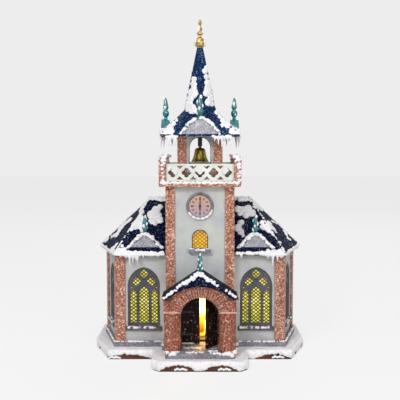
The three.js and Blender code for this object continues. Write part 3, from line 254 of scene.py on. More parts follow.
def leaded_sheet(name, strength, lead, tones):
    """Acetate lit from behind: each leaded diamond glows in its own yellow, a few towards orange.

    The real diamonds are about 4.9 by 4.1 mm; they are drawn coarser here, so that they show.
    """
    material, tree, place = start(name, 0.25, Emission_Strength=strength)
    flat = add(tree, "TexCoord").outputs["UV"]
    grid = add(tree, "SeparateXYZ", {"Vector": flat})
    wide = add(tree, "Math", {0: grid.outputs[0], 1: DIAMOND[0]}, operation="DIVIDE")
    tall = add(tree, "Math", {0: grid.outputs[1], 1: DIAMOND[1]}, operation="DIVIDE")
    rising = add(tree, "Math", {0: wide, 1: tall}, operation="ADD")
    falling = add(tree, "Math", {0: wide, 1: tall}, operation="SUBTRACT")
    lines = [add(tree, "Math", {0: way, 1: 0.5}, operation="PINGPONG") for way in (rising, falling)]
    near = add(tree, "Math", {0: lines[0], 1: lines[1]}, operation="MINIMUM")
    glass = ranged(tree, near, 0.0, 1.0, 0.14, 0.2)
    cell = add(tree, "CombineXYZ",
               {0: add(tree, "Math", {0: rising}, operation="FLOOR"),
                1: add(tree, "Math", {0: falling}, operation="FLOOR")})
    tints = add(tree, "TexWhiteNoise", {"Vector": cell}, noise_dimensions="2D")
    tone = toned(tree, tints.outputs["Value"], tones)
    glow = clouds(tree, place, 18, 2.0)
    depth = ranged(tree, glow, 0.0, 0.25, 0.3, 0.7)
    pane = mixed(tree, depth, tone, "#a89a1c")
    colour = mixed(tree, glass, lead, pane)
    ripple = clouds(tree, place, 1.5)
    bump = bumpy(tree, ripple, 0.2, 0.0002)
    feed(tree, Base_Color=colour, Emission_Color=colour, Normal=bump)
    return material


def plain_plastic():
    """Injection-moulded black polystyrene: fine spark-eroded texture with rubbed, slightly shinier spots."""
    material, tree, place = start("moulded_polystyrene", 0.5)
    cloud = clouds(tree, place, 9, 4.0)
    tone = toned(tree, cloud, [(0.35, "#222224"), (0.65, "#333336")])
    grit = clouds(tree, place, 0.5, 2.0)
    gloss = ranged(tree, cloud, 0.35, 0.65)
    bump = bumpy(tree, grit, 0.3, 0.0001)
    feed(tree, Base_Color=tone, Roughness=gloss, Normal=bump)
    return material


def frosted_bulb():
    """Frosted lamp glass, warm white and lit, its warmth varying with the frost."""
    material, tree, place = start("frosted_bulb", 0.35, Emission_Strength=9.0)
    frost = clouds(tree, place, 2.5, 3.0)
    tone = toned(tree, frost, [(0.3, "#ffd27a"), (0.7, "#fff3cf")])
    bump = bumpy(tree, frost, 0.2, 0.0002)
    feed(tree, Base_Color=tone, Emission_Color=tone, Normal=bump)
    return material


def lit_nylon():
    """Milky nylon of the lamp holder: the bulb's light runs down through it from near white to amber."""
    material, tree, place = start("milky_nylon", 0.4, Emission_Strength=1.6)
    height = add(tree, "SeparateXYZ", {"Vector": place})
    milk = clouds(tree, place, 6, 3.0)
    drift = ranged(tree, milk, -0.003, 0.003)
    level = add(tree, "Math", {0: height.outputs[2], 1: drift}, operation="ADD")
    share = ranged(tree, level, 0.0, 1.0, 0.0228, 0.0568)
    tone = toned(tree, share, [(0.0, "#c9a018"), (0.2, "#8a4a06"), (0.45, "#c07a0a"), (0.75, "#e6c018"),
                               (1.0, "#fff0a0")])
    bump = bumpy(tree, milk, 0.15, 0.0002)
    feed(tree, Base_Color=tone, Emission_Color=tone, Normal=bump)
    return material


def dial_card():
    """Printed clock card under lacquer with paper fibres; painted warm light: peach at the top, dusty rose below."""
    material, tree, place = start("printed_card", 0.5, Coat_Weight=0.2)
    height = add(tree, "SeparateXYZ", {"Vector": place})
    # Painted warm light: the card turns from dusty rose at the bottom to peach at the top.
    share = ranged(tree, height.outputs[2], 0.0, 1.0, 0.203, 0.231)
    fibre = clouds(tree, place, 2.5, 5.0)
    blend = add(tree, "Math", {0: share, 1: ranged(tree, fibre, -0.15, 0.15)}, operation="ADD")
    tone = toned(tree, blend, [(0.0, "#b39aa4"), (0.5, "#bd9c98"), (1.0, "#cda288")])
    gloss = ranged(tree, fibre, 0.4, 0.6)
    bump = bumpy(tree, fibre, 0.1, 0.0001)
    feed(tree, Base_Color=tone, Roughness=gloss, Normal=bump)
    return material


def dark_door():
    """Dark walnut stain on small boards, with flecks of snow glitter blown on to it."""
    material, tree, place = start("walnut_stain", 0.5, Specular_IOR_Level=0.15)
    stretch = add(tree, "Mapping", {"Vector": place, "Scale": (1.0, 1.0, 0.08)})
    grain = clouds(tree, stretch, 1.4, 5.0, 0.65)
    tone = toned(tree, grain, [(0.3, "#120807"), (0.55, "#24110d"), (0.75, "#3a1f18")])
    parts = cells(tree, place, 1.7)
    fleck = ranged(tree, parts[0], 0.0, 0.7, 0.93, 0.97)
    colour = mixed(tree, fleck, tone, "#b9b3b4")
    gloss = ranged(tree, grain, 0.35, 0.65)
    bump = bumpy(tree, grain, 0.3, 0.0003)
    feed(tree, Base_Color=colour, Roughness=gloss, Normal=bump)
    return material


snow_white = snow_paste()
granite_spray = granite()
walnut_stain = dark_door()
polystyrene = plain_plastic()
bulb_glass = frosted_bulb()
holder_nylon = lit_nylon()
rose_card = dial_card()
# Yellow acetate sheet of the large windows, with dark leading printed on it.
yellow_acetate = leaded_sheet("yellow_acetate", 0.5, "#2a2820",
                              [(0.0, "#bfae22"), (0.25, "#cfc42a"), (0.6, "#e0dc48"), (0.92, "#f2f08a"),
                               (1.0, "#e09a34")])
# The small window's sheet is a deeper amber with brown leading.
amber_acetate = leaded_sheet("amber_acetate", 0.55, "#8a6a1e",
                             [(0.0, "#c98c10"), (0.3, "#d99f18"), (0.7, "#e8b524"), (0.92, "#f2cc4a"),
                              (1.0, "#d97c18")])
# Grey acrylic on board: matte, cloudy, with faint olive patches.
grey_wall = paint("grey_acrylic", "#bcbebd", "#c9cabf", "#adaeb6", 0.6)
# Chocolate acrylic on sawn board: satin, long grain, rubbed at the edge.
brown_board = paint("brown_acrylic", "#4e2206", "#66330c", "#371604", 0.5, coat=0.1, grain=0.5, wear="#a0703c",
                    wear_amount=0.3)
# Greenish off-white enamel on thin plywood: satin and a little yellowed.
rail_white = paint("off_white_enamel", "#dde0d8", "#e6e9e0", "#cbcfc5", 0.45, coat=0.2)
# Teal enamel on turned wood: glossy, with darker pools in the grooves.
teal_enamel = paint("teal_enamel", "#0a6c70", "#148888", "#054a50", 0.2, coat=0.6, grain=0.08)
# Pale grey enamel on the belfry's mouldings.
pale_trim = paint("pale_grey_enamel", "#b4b5bc", "#c6c7cc", "#9c9da6", 0.45, coat=0.1)
# Dark stone-grey enamel on die-cut board.
tracery_grey = paint("stone_grey_enamel", "#4f4b54", "#625e68", "#3c3842", 0.5)
# Iron-black enamel on small hardware.
iron_black = paint("iron_black_enamel", "#26201f", "#3a3230", "#171212", 0.4, coat=0.2, grain=0.3, wear="#5c4a3c",
                   wear_amount=0.4)
# Dark oxblood enamel for hands and hour marks.
oxblood = paint("oxblood_enamel", "#2c1512", "#45211c", "#1c0c0a", 0.4, coat=0.1)
# Copper-coloured glitter stone: terracotta and pink flakes; the near-white flakes are painted sparkle.
copper_glitter = glitter("copper_glitter",
                         [(0.0, "#703a28"), (0.25, "#9a5b44"), (0.55, "#b37558"), (0.8, "#cf9a82"),
                          (0.95, "#f2dccf")], 1.5, 0.4, shade="#8e503a")
# Brick-red glitter stone of the porch: darker and duller.
brick_glitter = glitter("brick_red_glitter",
                        [(0.0, "#5f2718"), (0.3, "#8c452d"), (0.6, "#a55e45"), (0.88, "#c08470"), (0.985, "#e6c6b8")],
                        1.5, 0.25, cloud_size=12.0, shade="#6a3020", shade_amount=0.45)
# Every other brick of the arch is browner.
brick_dark = glitter("brown_brick_glitter",
                     [(0.0, "#4a2016"), (0.3, "#743a28"), (0.6, "#8d4d38"), (0.88, "#ab7260"), (0.985, "#d8b4a4")],
                     1.5, 0.2, cloud_size=12.0, shade="#4c2418", shade_amount=0.4)
# The mortar and bands of the porch: cream-pink paint with grit.
mortar_pink = glitter("mortar_pink", [(0.0, "#b98873"), (0.5, "#d9ac99"), (0.9, "#ecd4c6")], 1.1, 0.1,
                      cloud_size=10.0, shade="#a56a54", shade_amount=0.4)
# Midnight-blue glitter of the roofs: near-black to steel-blue flakes; the few bright ones are painted sparkle.
navy_glitter = glitter("navy_glitter",
                       [(0.0, "#05081a"), (0.4, "#0c122b"), (0.75, "#18213f"), (0.92, "#333e5a"), (0.985, "#8490a8")],
                       1.2, 0.03, cloud_size=30.0, shade="#03061a", shade_amount=0.5, gleam=0.01)
# The spire's glitter is a lighter, bluer mix; its few pale flakes are painted sparkle.
blue_glitter = glitter("steel_blue_glitter",
                       [(0.0, "#07163c"), (0.4, "#10274e"), (0.75, "#1e3c62"), (0.92, "#3a6084"), (0.98, "#90aec6")],
                       1.2, 0.1, cloud_size=30.0, shade="#050f34", shade_amount=0.6, gleam=0.02)
# Silver-grey glitter of the gable panels.
silver_glitter = glitter("silver_glitter", [(0.0, "#7c7b82"), (0.4, "#9d9ca3"), (0.75, "#b4b3b8"), (0.95, "#dddce0")],
                         0.9, 0.5, cloud_size=16.0, shade="#8e8d95", shade_amount=0.3)
# Gold plating: warm and polished, browner in cloudy patches.
gold_plate = metal("gold_plate", "#cdb27a", "#8d6c33", 0.2)
# Aged brass of the bell: olive-gold.
aged_brass = metal("aged_brass", "#b8a250", "#685a24", 0.24)
# Satin nickel of the clock's bezel.
satin_nickel = metal("satin_nickel", "#8c9294", "#666c6e", 0.34)


def dress(names, material):
    """Gives carried-over nodes their material."""
    for name in names:
        data = nodes[name].data
        data.materials.clear()
        data.materials.append(material)


dress(["nave_front_wall_left", "nave_front_wall_right", "nave_side_wall_left", "nave_side_wall_right",
       "nave_rear_wall", "tower_shell"], grey_wall)
dress([n for n in nodes if "pilaster" in n] + ["balcony_deck", "belfry"], copper_glitter)
dress(["base_board"], brown_board)
dress(["ground_snow"], snow_white)
dress(["nave_plinth", "entrance_step", "tower_window_sill"], granite_spray)
dress(["nave_roof", "porch_roof"], navy_glitter)
dress(["spire"], blue_glitter)
dress([n for n in nodes if "dormer" in n or "gable" in n], silver_glitter)
dress([n for n in nodes if "balcony_rail" in n], rail_white)
dress(["porch_front"], brick_glitter)
dress(["door_frame", "door_left", "door_right"], walnut_stain)
dress(["clock_case"], satin_nickel)
dress(["clock_dial"], rose_card)
dress(["minute_hand", "hour_hand"], oxblood)
dress(["bell", "bell_clapper"], aged_brass)
dress(["bell_hanger"], iron_black)
dress(["top_finial"], gold_plate)
dress([n for n in nodes if n.startswith("window_tracery")], tracery_grey)
dress([n for n in nodes if n.startswith("window_pane")], yellow_acetate)
dress(["tower_window_pane"], amber_acetate)
dress(["battery_box", "battery_cover", "power_switch"], polystyrene)
dress(["lamp_holder"], holder_nylon)
dress(["lamp_bulb"], bulb_glass)

# Floor and light


def stage_floor():
    """A pale sweep that is white to the camera and keeps the church's shadow."""
    bpy.ops.mesh.primitive_plane_add(size=12, location=(0, 0, -0.0002))
    floor = bpy.context.object
    floor.name = "floor"
    material, tree, place = start("pale_floor", 0.9, Base_Color="#e9e9e9")
    paper = tree.nodes["Principled BSDF"]
    rays = add(tree, "LightPath")
    white = add(tree, "Emission", {"Color": "#f2f2f2", "Strength": 1.07})
    share = add(tree, "MixShader", {0: 0.8, 1: paper, 2: white})
    view = add(tree, "MixShader", {0: rays.outputs["Is Camera Ray"], 1: paper, 2: share})
    tree.links.new(view.outputs[0], tree.nodes["Material Output"].inputs["Surface"])
    floor.data.materials.append(material)


stage_floor()

world = bpy.data.worlds.new("studio")
bpy.context.scene.world = world
world.use_nodes = True
sky = world.node_tree
rays = add(sky, "LightPath")
straight = add(sky, "Math", {0: rays.outputs["Is Camera Ray"], 1: rays.outputs["Is Glossy Ray"]}, operation="MAXIMUM")
straight = add(sky, "Math", {0: straight, 1: rays.outputs["Is Transmission Ray"]}, operation="MAXIMUM")
soft = add(sky, "Background", {"Color": "#ffffff", "Strength": 0.3})
pale = add(sky, "Background", {"Color": "#f6f6f6", "Strength": 0.92})
both = add(sky, "MixShader", {0: straight, 1: soft, 2: pale})
sky.links.new(both.outputs[0], sky.nodes["World Output"].inputs["Surface"])


def lamp(name, place, aim, size, power, colour="#ffffff"):
    """A soft box that looks at a point."""
    data = bpy.data.lights.new(name, "AREA")
    data.shape = "DISK"
    data.size = size
    data.energy = power
    data.color = linear(colour)[:3]
    light = bpy.data.objects.new(name, data)
    light.location = place
    light.rotation_euler = (Vector(aim) - Vector(place)).to_track_quat("-Z", "Y").to_euler()
    bpy.context.collection.objects.link(light)


lamp("key", (-0.8, -1.7, 1.45), (0, 0, 0.2), 0.55, 21)
lamp("fill", (1.0, -1.7, 0.7), (0, 0, 0.2), 1.0, 10)
lamp("back", (0.3, 1.5, 1.4), (0, 0, 0.25), 1.0, 6)
lamp("top", (0.1, -0.6, 1.9), (0, 0, 0.25), 0.9, 8)


def inner_glow(kind, power, colour):
    """The lit lamp inside the tower."""
    glow = bpy.data.lights.new("inner_glow", kind)
    glow.energy = power
    glow.color = linear(colour)[:3]
    glow.shadow_soft_size = 0.006
    made = bpy.data.objects.new("inner_glow", glow)
    made.location = (0, (TOWER_Y - 6) * MM, 0.104)
    bpy.context.collection.objects.link(made)
    return made


inner_glow("POINT", 0.1, "#ffb040")
beam = inner_glow("SPOT", 14, "#ffc860")
beam.rotation_euler = (math.radians(80), 0, 0)
beam.data.spot_size = math.radians(165)
beam.data.spot_blend = 0.3

# Mesh tools


def piece(name, verts, faces, material, body="church", smooth=False, bevel=0.0):
    """A mesh piece from points in mm; it rides on a body."""
    mesh = bpy.data.meshes.new(name)
    mesh.from_pydata([Vector(v) * MM for v in verts], [], faces)
    made = bpy.data.objects.new(name, mesh)
    bpy.context.collection.objects.link(made)
    mesh.materials.append(material)
    work = bmesh.new()
    work.from_mesh(mesh)
    bmesh.ops.remove_doubles(work, verts=work.verts, dist=1e-6)
    bmesh.ops.recalc_face_normals(work, faces=work.faces)
    work.to_mesh(mesh)
    work.free()
    if smooth:
        mesh.shade_smooth()
    if bevel:
        edge = made.modifiers.new("edge", "BEVEL")
        edge.width = bevel * MM
        edge.segments = 2
        edge.limit_method = "ANGLE"
        edge.harden_normals = True
        mesh.shade_smooth()
    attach(made, body)
    return made


def lathe(profile, place, turns=40, axis="Z"):
    """Points and faces of a turned form; profile holds [radius, height] from foot to top."""
    verts, faces = [], []
    place = Vector(place)
    for radius, height in profile:
        for k in range(turns):
            angle = 2 * math.pi * k / turns
            across, along = radius * math.cos(angle), radius * math.sin(angle)
            verts.append(place + Vector((across, along, height) if axis == "Z" else (across, -height, along)))
    for ring in range(len(profile) - 1):
        for k in range(turns):
            a, b = ring * turns + k, ring * turns + (k + 1) % turns
            faces.append((a, b, b + turns, a + turns))
    faces.append(tuple(range(turns)))
    faces.append(tuple(range((len(profile) - 1) * turns, len(profile) * turns)))
    return verts, faces


def turned(name, profile, place, turns, material, axis="Z", body="church", caps=False, smooth=True):
    """A turned piece. It has no caps where its profile starts and ends on the axis or is a ring."""
    verts, faces = lathe(profile, place, turns, axis)
    return piece(name, verts, faces if caps else faces[:-2], material, body, smooth)


def rounded(profile, steps=4):
    """A profile with a smooth curve through its points."""
    points = [Vector(p) for p in profile]
    points = [points[0]] + points + [points[-1]]
    out = []
    for a, b, c, d in zip(points, points[1:], points[2:], points[3:]):
        for k in range(steps):
            t = k / steps
            square, cube = 2 * a - 5 * b + 4 * c - d, 3 * b - a - 3 * c + d
            out.append(0.5 * (2 * b + (c - a) * t + square * t * t + cube * t ** 3))
    return [(max(p.x, 0.0), p.y) for p in out] + [tuple(profile[-1])]


def plate(name, outlines, front, thickness, matrix, material, body="church", edge=0.25):
    """A flat board cut along closed outlines of (x, z) points in mm, holes included, with softened edges.

    Its face is at y = front in its own frame and it runs back; matrix sets it in place, in mm.
    """
    curve = bpy.data.curves.new(name + "_outline", "CURVE")
    curve.dimensions = "2D"
    curve.fill_mode = "BOTH"
    curve.extrude = (thickness / 2 - edge) * MM
    curve.bevel_depth = edge * MM
    curve.offset = -edge * MM
    curve.bevel_resolution = 1
    for outline in outlines:
        spline = curve.splines.new("POLY")
        spline.points.add(len(outline) - 1)
        for point, (x, z) in zip(spline.points, outline):
            point.co = (x * MM, z * MM, 0, 1)
        spline.use_cyclic_u = True
    shape = bpy.data.objects.new(name + "_outline", curve)
    bpy.context.collection.objects.link(shape)
    bpy.context.view_layer.update()
    flat = bpy.data.meshes.new_from_object(shape.evaluated_get(bpy.context.evaluated_depsgraph_get()))
    bpy.data.objects.remove(shape)
    stand = Matrix.Rotation(math.pi / 2, 4, "X")
    push = Matrix.Translation((0, (front + thickness / 2) * MM, 0))
    if len(flat.uv_layers) == 0:
        flat.uv_layers.new(name="face")
    for loop in flat.loops:
        flat.uv_layers[0].data[loop.index].uv = flat.vertices[loop.vertex_index].co.xy / MM
    flat.transform(metres(matrix) @ push @ stand)
    flat.name = name
    flat.materials.clear()
    flat.materials.append(material)
    made = bpy.data.objects.new(name, flat)
    bpy.context.collection.objects.link(made)
    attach(made, body)
    return made


def metres(matrix):
    """A placement in mm as one in metres."""
    out = matrix.copy()
    out.translation = matrix.translation * MM
    return out


def at(x, y, z, turn=0.0):
    """A placement in mm, turned about Z by degrees."""
    return Matrix.Translation((x, y, z)) @ Matrix.Rotation(math.radians(turn), 4, "Z")


def arc(x, z, radius, first, last, steps):
    return [(x + radius * math.cos(math.radians(first + (last - first) * k / steps)),
             z + radius * math.sin(math.radians(first + (last - first) * k / steps))) for k in range(steps + 1)]


def pointed(width, foot, springing, top, steps=12):
    """A two-centred pointed arch."""
    half, rise = width / 2, top - springing
    radius = (half * half + rise * rise) / width
    spread = math.degrees(math.atan2(rise, radius - half))
    return ([(-half, foot), (half, foot)] + arc(half - radius, springing, radius, 0, spread, steps)
            + arc(radius - half, springing, radius, 180 - spread, 180, steps)[1:])


def round_head(width, foot, springing, steps=24):
    return [(-width / 2, foot), (width / 2, foot)] + arc(0, springing, width / 2, 0, 180, steps)


def quatrefoil(x, z, width, steps=8):
    """Four round lobes about one point."""
    radius = width * 0.29
    offset = width / 2 - radius
    meet = (offset + math.sqrt(2 * radius * radius - offset * offset)) / 2
    sweep = math.degrees(math.atan2(meet, meet - offset))
    out = []
    for turn in (0, 90, 180, 270):
        cx, cz = x + offset * math.cos(math.radians(turn)), z + offset * math.sin(math.radians(turn))
        out += arc(cx, cz, radius, turn - sweep, turn + sweep, steps)[1:]
    return out


def shifted(points, dx, dz=0.0):
    return [(x + dx, z + dz) for x, z in points]


# Snow


def rough(point, size, seed=0.0):
    """Smooth noise of about one bump per size in mm, between -1 and 1."""
    return noise.noise(Vector(point) / size + Vector((seed, seed * 0.7, -seed)))


def snow_sheet(name, corners, covered, depth, step):
    """Snow lying on a flat face: a puffy sheet where covered(point) is above zero, with ragged edges.

    corners runs round the face, depth is the snow's thickness and step the grid's pitch, in mm. The sheet
    tucks under its own rim, so that its edge is thick.
    """
    a, b, c = (Vector(p) for p in corners[:3])
    normal = (b - a).cross(c - b).normalized()
    across = (b - a).normalized()
    up = normal.cross(across)
    flat = [((Vector(p) - a).dot(across), (Vector(p) - a).dot(up)) for p in corners]
    count = len(flat)

    def inside(u, v):
        """How far a point is inside the face, in mm."""
        near = 1e9
        for k in range(count):
            (x0, y0), (x1, y1) = flat[k], flat[(k + 1) % count]
            length = math.hypot(x1 - x0, y1 - y0)
            near = min(near, ((x1 - x0) * (v - y0) - (y1 - y0) * (u - x0)) / length)
        return near

    low_u, high_u = min(p[0] for p in flat), max(p[0] for p in flat)
    low_v, high_v = min(p[1] for p in flat), max(p[1] for p in flat)
    columns, rows = int((high_u - low_u) / step) + 2, int((high_v - low_v) / step) + 2
    depths, points = {}, {}
    for i in range(columns):
        for j in range(rows):
            u, v = low_u + i * step, low_v + j * step
            edge = inside(u, v)
            if edge < -step:
                continue
            point = a + across * u + up * v
            value = covered(point) + 0.9 * rough(point, 3.2, 3) + 0.5 * rough(point, 1.5, 8)
            depths[i, j] = min(value, edge * 1.2 + 0.4)
            points[i, j] = point
    verts, faces, index = [], [], {}

    def vertex(key):
        if key not in index:
            value = depths[key]
            wave = 0.25 * rough(points[key], 5, 5) if value > 0.5 else 0
            lift = depth * (1 - math.exp(-max(value, 0) * 0.9)) + wave
            index[key] = len(verts)
            verts.append(points[key] + normal * (lift + 0.12 if value > 0 else -0.25))
        return index[key]

    for i in range(columns - 1):
        for j in range(rows - 1):
            keys = [(i, j), (i + 1, j), (i + 1, j + 1), (i, j + 1)]
            if all(k in depths for k in keys) and sum(depths[k] > 0 for k in keys) >= 2:
                faces.append([vertex(k) for k in keys])
    if not faces:
        return None
    return piece(name, verts, faces, snow_white, smooth=True)


def blobs(spots):
    """Snow cover from spots (x pixel, y pixel, radius in pixels) of the photograph, as a value in mm."""
    cells = {}
    for x, y, r in spots:
        for i in range(int((x - r - 5) // 8), int((x + r + 5) // 8) + 1):
            for j in range(int((y - r - 5) // 8), int((y + r + 5) // 8) + 1):
                cells.setdefault((i, j), []).append((x, y, r))

    def covered(point):
        u, v = pixel(point)
        near = cells.get((int(u // 8), int(v // 8)), ())
        best = max((r - math.hypot(u - x, v - y) for x, y, r in near), default=-5)
        return (best - 0.3) * 1.4
    return covered


def turned_about(covered, x, y, degrees):
    """The same cover on a face that a turn about a vertical axis brings to the front."""
    back = Matrix.Rotation(math.radians(-degrees), 4, "Z")
    centre = Vector((x, y, 0))
    return lambda point: covered(back @ (point - centre) + centre)


def round_ball():
    """Points and faces of a ball of radius 1."""
    work = bmesh.new()
    bmesh.ops.create_icosphere(work, subdivisions=2, radius=1.0)
    out = [v.co.copy() for v in work.verts], [[v.index for v in f.verts] for f in work.faces]
    work.free()
    return out


BALL = round_ball()


class Lumps:
    """A heap of lumps and cones that melts together into one snowy mass."""

    def __init__(self):
        self.verts, self.faces = [], []

    def take(self, verts, faces):
        first = len(self.verts)
        self.verts += verts
        self.faces += [[first + k for k in face] for face in faces]
        return self

    def ball(self, point, radii):
        wide, deep, tall = radii if isinstance(radii, (tuple, list)) else (radii, radii, radii)
        x, y, z = point
        return self.take([(x + v.x * wide, y + v.y * deep, z + v.z * tall) for v in BALL[0]], BALL[1])

    def icicle(self, point, length, radius):
        """A cone that hangs from a point."""
        x, y, z = point
        profile = [(0, -length), (radius * 0.2, -length * 0.97), (radius * 0.42, -length * 0.6),
                   (radius * 0.7, -length * 0.25), (radius, 0)]
        return self.take(*lathe(profile, (x, y, z), 8))

    def along(self, a, b, radius, spacing, seed, lift=0.0, squash=0.7, gaps=0.0, jitter=0.35):
        """Lumps in a row from a to b, uneven, with some left out."""
        rng = random.Random(seed)
        a, b = Vector(a), Vector(b)
        count = max(2, int((b - a).length / spacing))
        for k in range(count + 1):
            if rng.random() < gaps:
                continue
            size = radius * (1 + jitter * (2 * rng.random() - 1))
            point = a.lerp(b, k / count) + Vector((rng.uniform(-1, 1), rng.uniform(-1, 1), 0)) * spacing * 0.25
            self.ball(point + Vector((0, 0, lift)), (size, size, size * squash))
        return self

    def melt(self, name, voxel=0.8, smoothing=3, body="church"):
        """The heap as one mesh piece."""
        mesh = bpy.data.meshes.new(name)
        mesh.from_pydata([Vector(v) * MM for v in self.verts], [], self.faces)
        made = bpy.data.objects.new(name, mesh)
        bpy.context.collection.objects.link(made)
        remesh = made.modifiers.new("melt", "REMESH")
        remesh.mode = "VOXEL"
        remesh.voxel_size = voxel * MM
        soften = made.modifiers.new("soften", "SMOOTH")
        soften.factor = 0.5
        soften.iterations = smoothing
        bpy.context.view_layer.update()
        final = bpy.data.meshes.new_from_object(made.evaluated_get(bpy.context.evaluated_depsgraph_get()))
        made.modifiers.clear()
        made.data = final
        bpy.data.meshes.remove(mesh)
        final.name = name
        final.materials.clear()
        final.materials.append(snow_white)
        final.shade_smooth()
        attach(made, body)
        return made


# Pieces

SIDES = ((0, "front"), (90, "right"), (180, "rear"), (270, "left"))  # turns about the tower's axis
EAVE_Z = 314.4  # the spire's eave


def bell_curve(width, height, fullness=0.55, steps=40):
    out = []
    for k in range(steps + 1):
        share = 1 - 2 * k / steps
        out.append((share * width / 2, max((1 + math.cos(math.pi * share)) / 2, 0) ** fullness * height))
    return out


FINIAL = [(0, -1.5), (2.4, -1.5), (3.0, 0.2), (2.2, 1.6), (2.8, 3.0), (4.2, 5.0), (4.8, 7.8), (4.2, 10.6),
          (2.7, 12.6), (2.6, 13.4), (3.6, 14.4), (3.9, 16.6), (3.6, 19.6), (2.8, 23.2), (1.6, 27.6), (0.6, 30.2),
          (0, 30.5)]
FINIAL_HEIGHT = FINIAL[-1][1]


def finial(name, x, y, z, height):
    """A turned spindle in teal enamel: foot, ball, collar and a drawn-out drop."""
    unit = height / FINIAL_HEIGHT
    profile = [(r * unit, h * unit) for r, h in rounded(FINIAL, 3)]
    return turned(name, profile, (x, y, z), 28, teal_enamel, caps=True)


def gable(name, node, matrix, width, height, fullness, tall, spans, seed, sizes=(1.6, 2.9)):
    """A bell-shaped gable board: silver glitter panel, teal rim, finial, and snow along the curve.

    spans holds [from, to] shares of the half width that are under snow; tall is the finial's height.
    """
    def curve(less):
        return bell_curve(width - 2.6 * less, height - less, fullness)

    outer, inner = curve(0), curve(2.4)
    panel = plate(name + "_panel", [shifted(curve(1.6), 0, -0.1)], 1.2, 9, matrix, silver_glitter, edge=0.1)
    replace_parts(panel, node)
    foot = width / 2 - 3.3
    plate(name + "_rim", [outer + [(-foot, 0)] + inner[::-1] + [(foot, 0)]], 0, 11.5, matrix, teal_enamel, edge=0.4)
    top = matrix @ Vector((0, 6, height))
    finial(name + "_finial", *top, tall)
    rng = random.Random(seed)
    heap = Lumps()
    for first, last in spans:
        count = max(2, int((last - first) * 18))
        for k in range(count + 1):
            share = first + (last - first) * k / count
            lift = max((1 + math.cos(math.pi * share)) / 2, 0) ** fullness * height
            for deep in (0.4, 4.5, 9.0):
                if rng.random() < 0.07:
                    continue
                size = rng.uniform(*sizes)
                spot = Vector((share * width / 2 + rng.uniform(-0.8, 0.8), deep + rng.uniform(-0.8, 0.8),
                               lift + rng.uniform(-1.6, 0.7)))
                heap.ball(matrix @ spot, (size, size, size * 0.75))
    unit = tall / FINIAL_HEIGHT
    for side, front, where in ((0.4, -1, 28), (-0.9, 0.2, 21), (1, -0.3, 16), (0.9, 0.4, 8.5), (-1, -0.4, 6.5),
                               (-0.3, -1, 12.5), (0, 1, 18)):
        size = rng.uniform(1.6, 2.5) * unit
        heap.ball(top + matrix.to_3x3() @ Vector((side * 3.3, front * 3.0, 0)) * unit + Vector((0, 0, where * unit)),
                  (size, size, size * 1.6))
    heap.melt(name + "_snow", 0.7)


for turn, side in SIDES:
    place = at(0, TOWER_Y, EAVE_Z + 1.9, turn) @ at(0, -55.4, 0)
    ends = turn in (0, 180)
    spans = [(-0.95, -0.22), (0.02, 0.98)] if ends else [(-0.95, -0.74), (0.76, 0.95)]
    gable("spire_gable_" + side + "_board", "spire_gable_" + side, place, 57, 23.2, 0.52, FINIAL_HEIGHT, spans,
          11 + turn)
for sign, side in ((-1, "left"), (1, "right")):
    place = at(sign * 78.8, -57.25, 156.4)
    gable("dormer_" + side + "_board", "dormer_" + side, place, 51, 19.8, 0.8, 26.5,
          [(-0.98, -0.62), (-0.58, -0.12), (0.0, 0.5), (0.6, 0.98)], 31 + sign, (1.7, 3.5))

# Spire snow: the spots on the front repeat on the other sides
SPIRE_SPOTS = [(194, 79, 3), (193.5, 84, 3.6), (194, 88, 3.2), (193, 93, 5.5), (190, 99, 4), (189, 104, 4),
               (192, 109, 5), (188, 108, 4), (196, 111, 3), (206.5, 67, 2.4), (205.5, 71, 3.5), (206.5, 77, 3),
               (208, 83, 4), (208.5, 88, 4.5), (207.5, 93, 4.6), (211, 98, 4), (209, 102, 4.5), (212, 104, 3),
               (176.5, 120, 1.9), (174, 123.5, 2.6), (170.5, 127.5, 3.6), (167, 131.5, 4), (171.5, 131.5, 3.2),
               (162.5, 134.5, 2.6), (159, 135, 2.2), (217, 112, 2.8), (220, 116, 2.6), (223.5, 120.5, 3.6),
               (227.5, 125, 3.6), (232, 131, 3.6), (236, 134, 3.6), (222.5, 125, 2.3), (240, 135, 2.4)]
spire_cover = blobs(SPIRE_SPOTS)
SPIRE_FOOT, SPIRE_TIP = (24.46, 351.5), (4.76, 440)  # radius over corners and height
CORNER, FLAT = 9.36, 22.6  # of the octagon's foot: half a side, and the side's distance from the axis
SKIRT, SKIRT_Z = 55, 316  # half the skirt's width, and its lower edge


def octagon_point(ring, k):
    radius, z = ring
    angle = math.radians(22.5 + 45 * k)
    return Vector((radius * math.cos(angle), radius * math.sin(angle), z))


for turn, _ in SIDES:
    cover = turned_about(spire_cover, 0, TOWER_Y, turn)
    wheel = at(0, TOWER_Y, 0, turn)
    ends = turn in (0, 180)
    for k in (4, 5, 6) if ends else (5,):
        corners = ((SPIRE_FOOT, k), (SPIRE_FOOT, k + 1), (SPIRE_TIP, k + 1), (SPIRE_TIP, k))
        face = [wheel @ octagon_point(ring, n) for ring, n in corners]
        snow_sheet("snow_on_spire_%d_%d" % (turn, k), face, cover, 1.4, 0.8)
    top = SPIRE_FOOT[1]
    low_left, low_right = (-SKIRT, -SKIRT, SKIRT_Z), (SKIRT, -SKIRT, SKIRT_Z)
    front = [low_left, low_right, (CORNER, -FLAT, top), (-CORNER, -FLAT, top)]
    right = [low_right, (FLAT, -CORNER, top), (CORNER, -FLAT, top)]
    left = [low_left, (-CORNER, -FLAT, top), (-FLAT, -CORNER, top)]
    for name, corners in (("front", front), ("right", right), ("left", left))[:3 if ends else 1]:
        snow_sheet("snow_on_skirt_%d_%s" % (turn, name), [wheel @ Vector(p) for p in corners], cover, 1.8, 0.9)


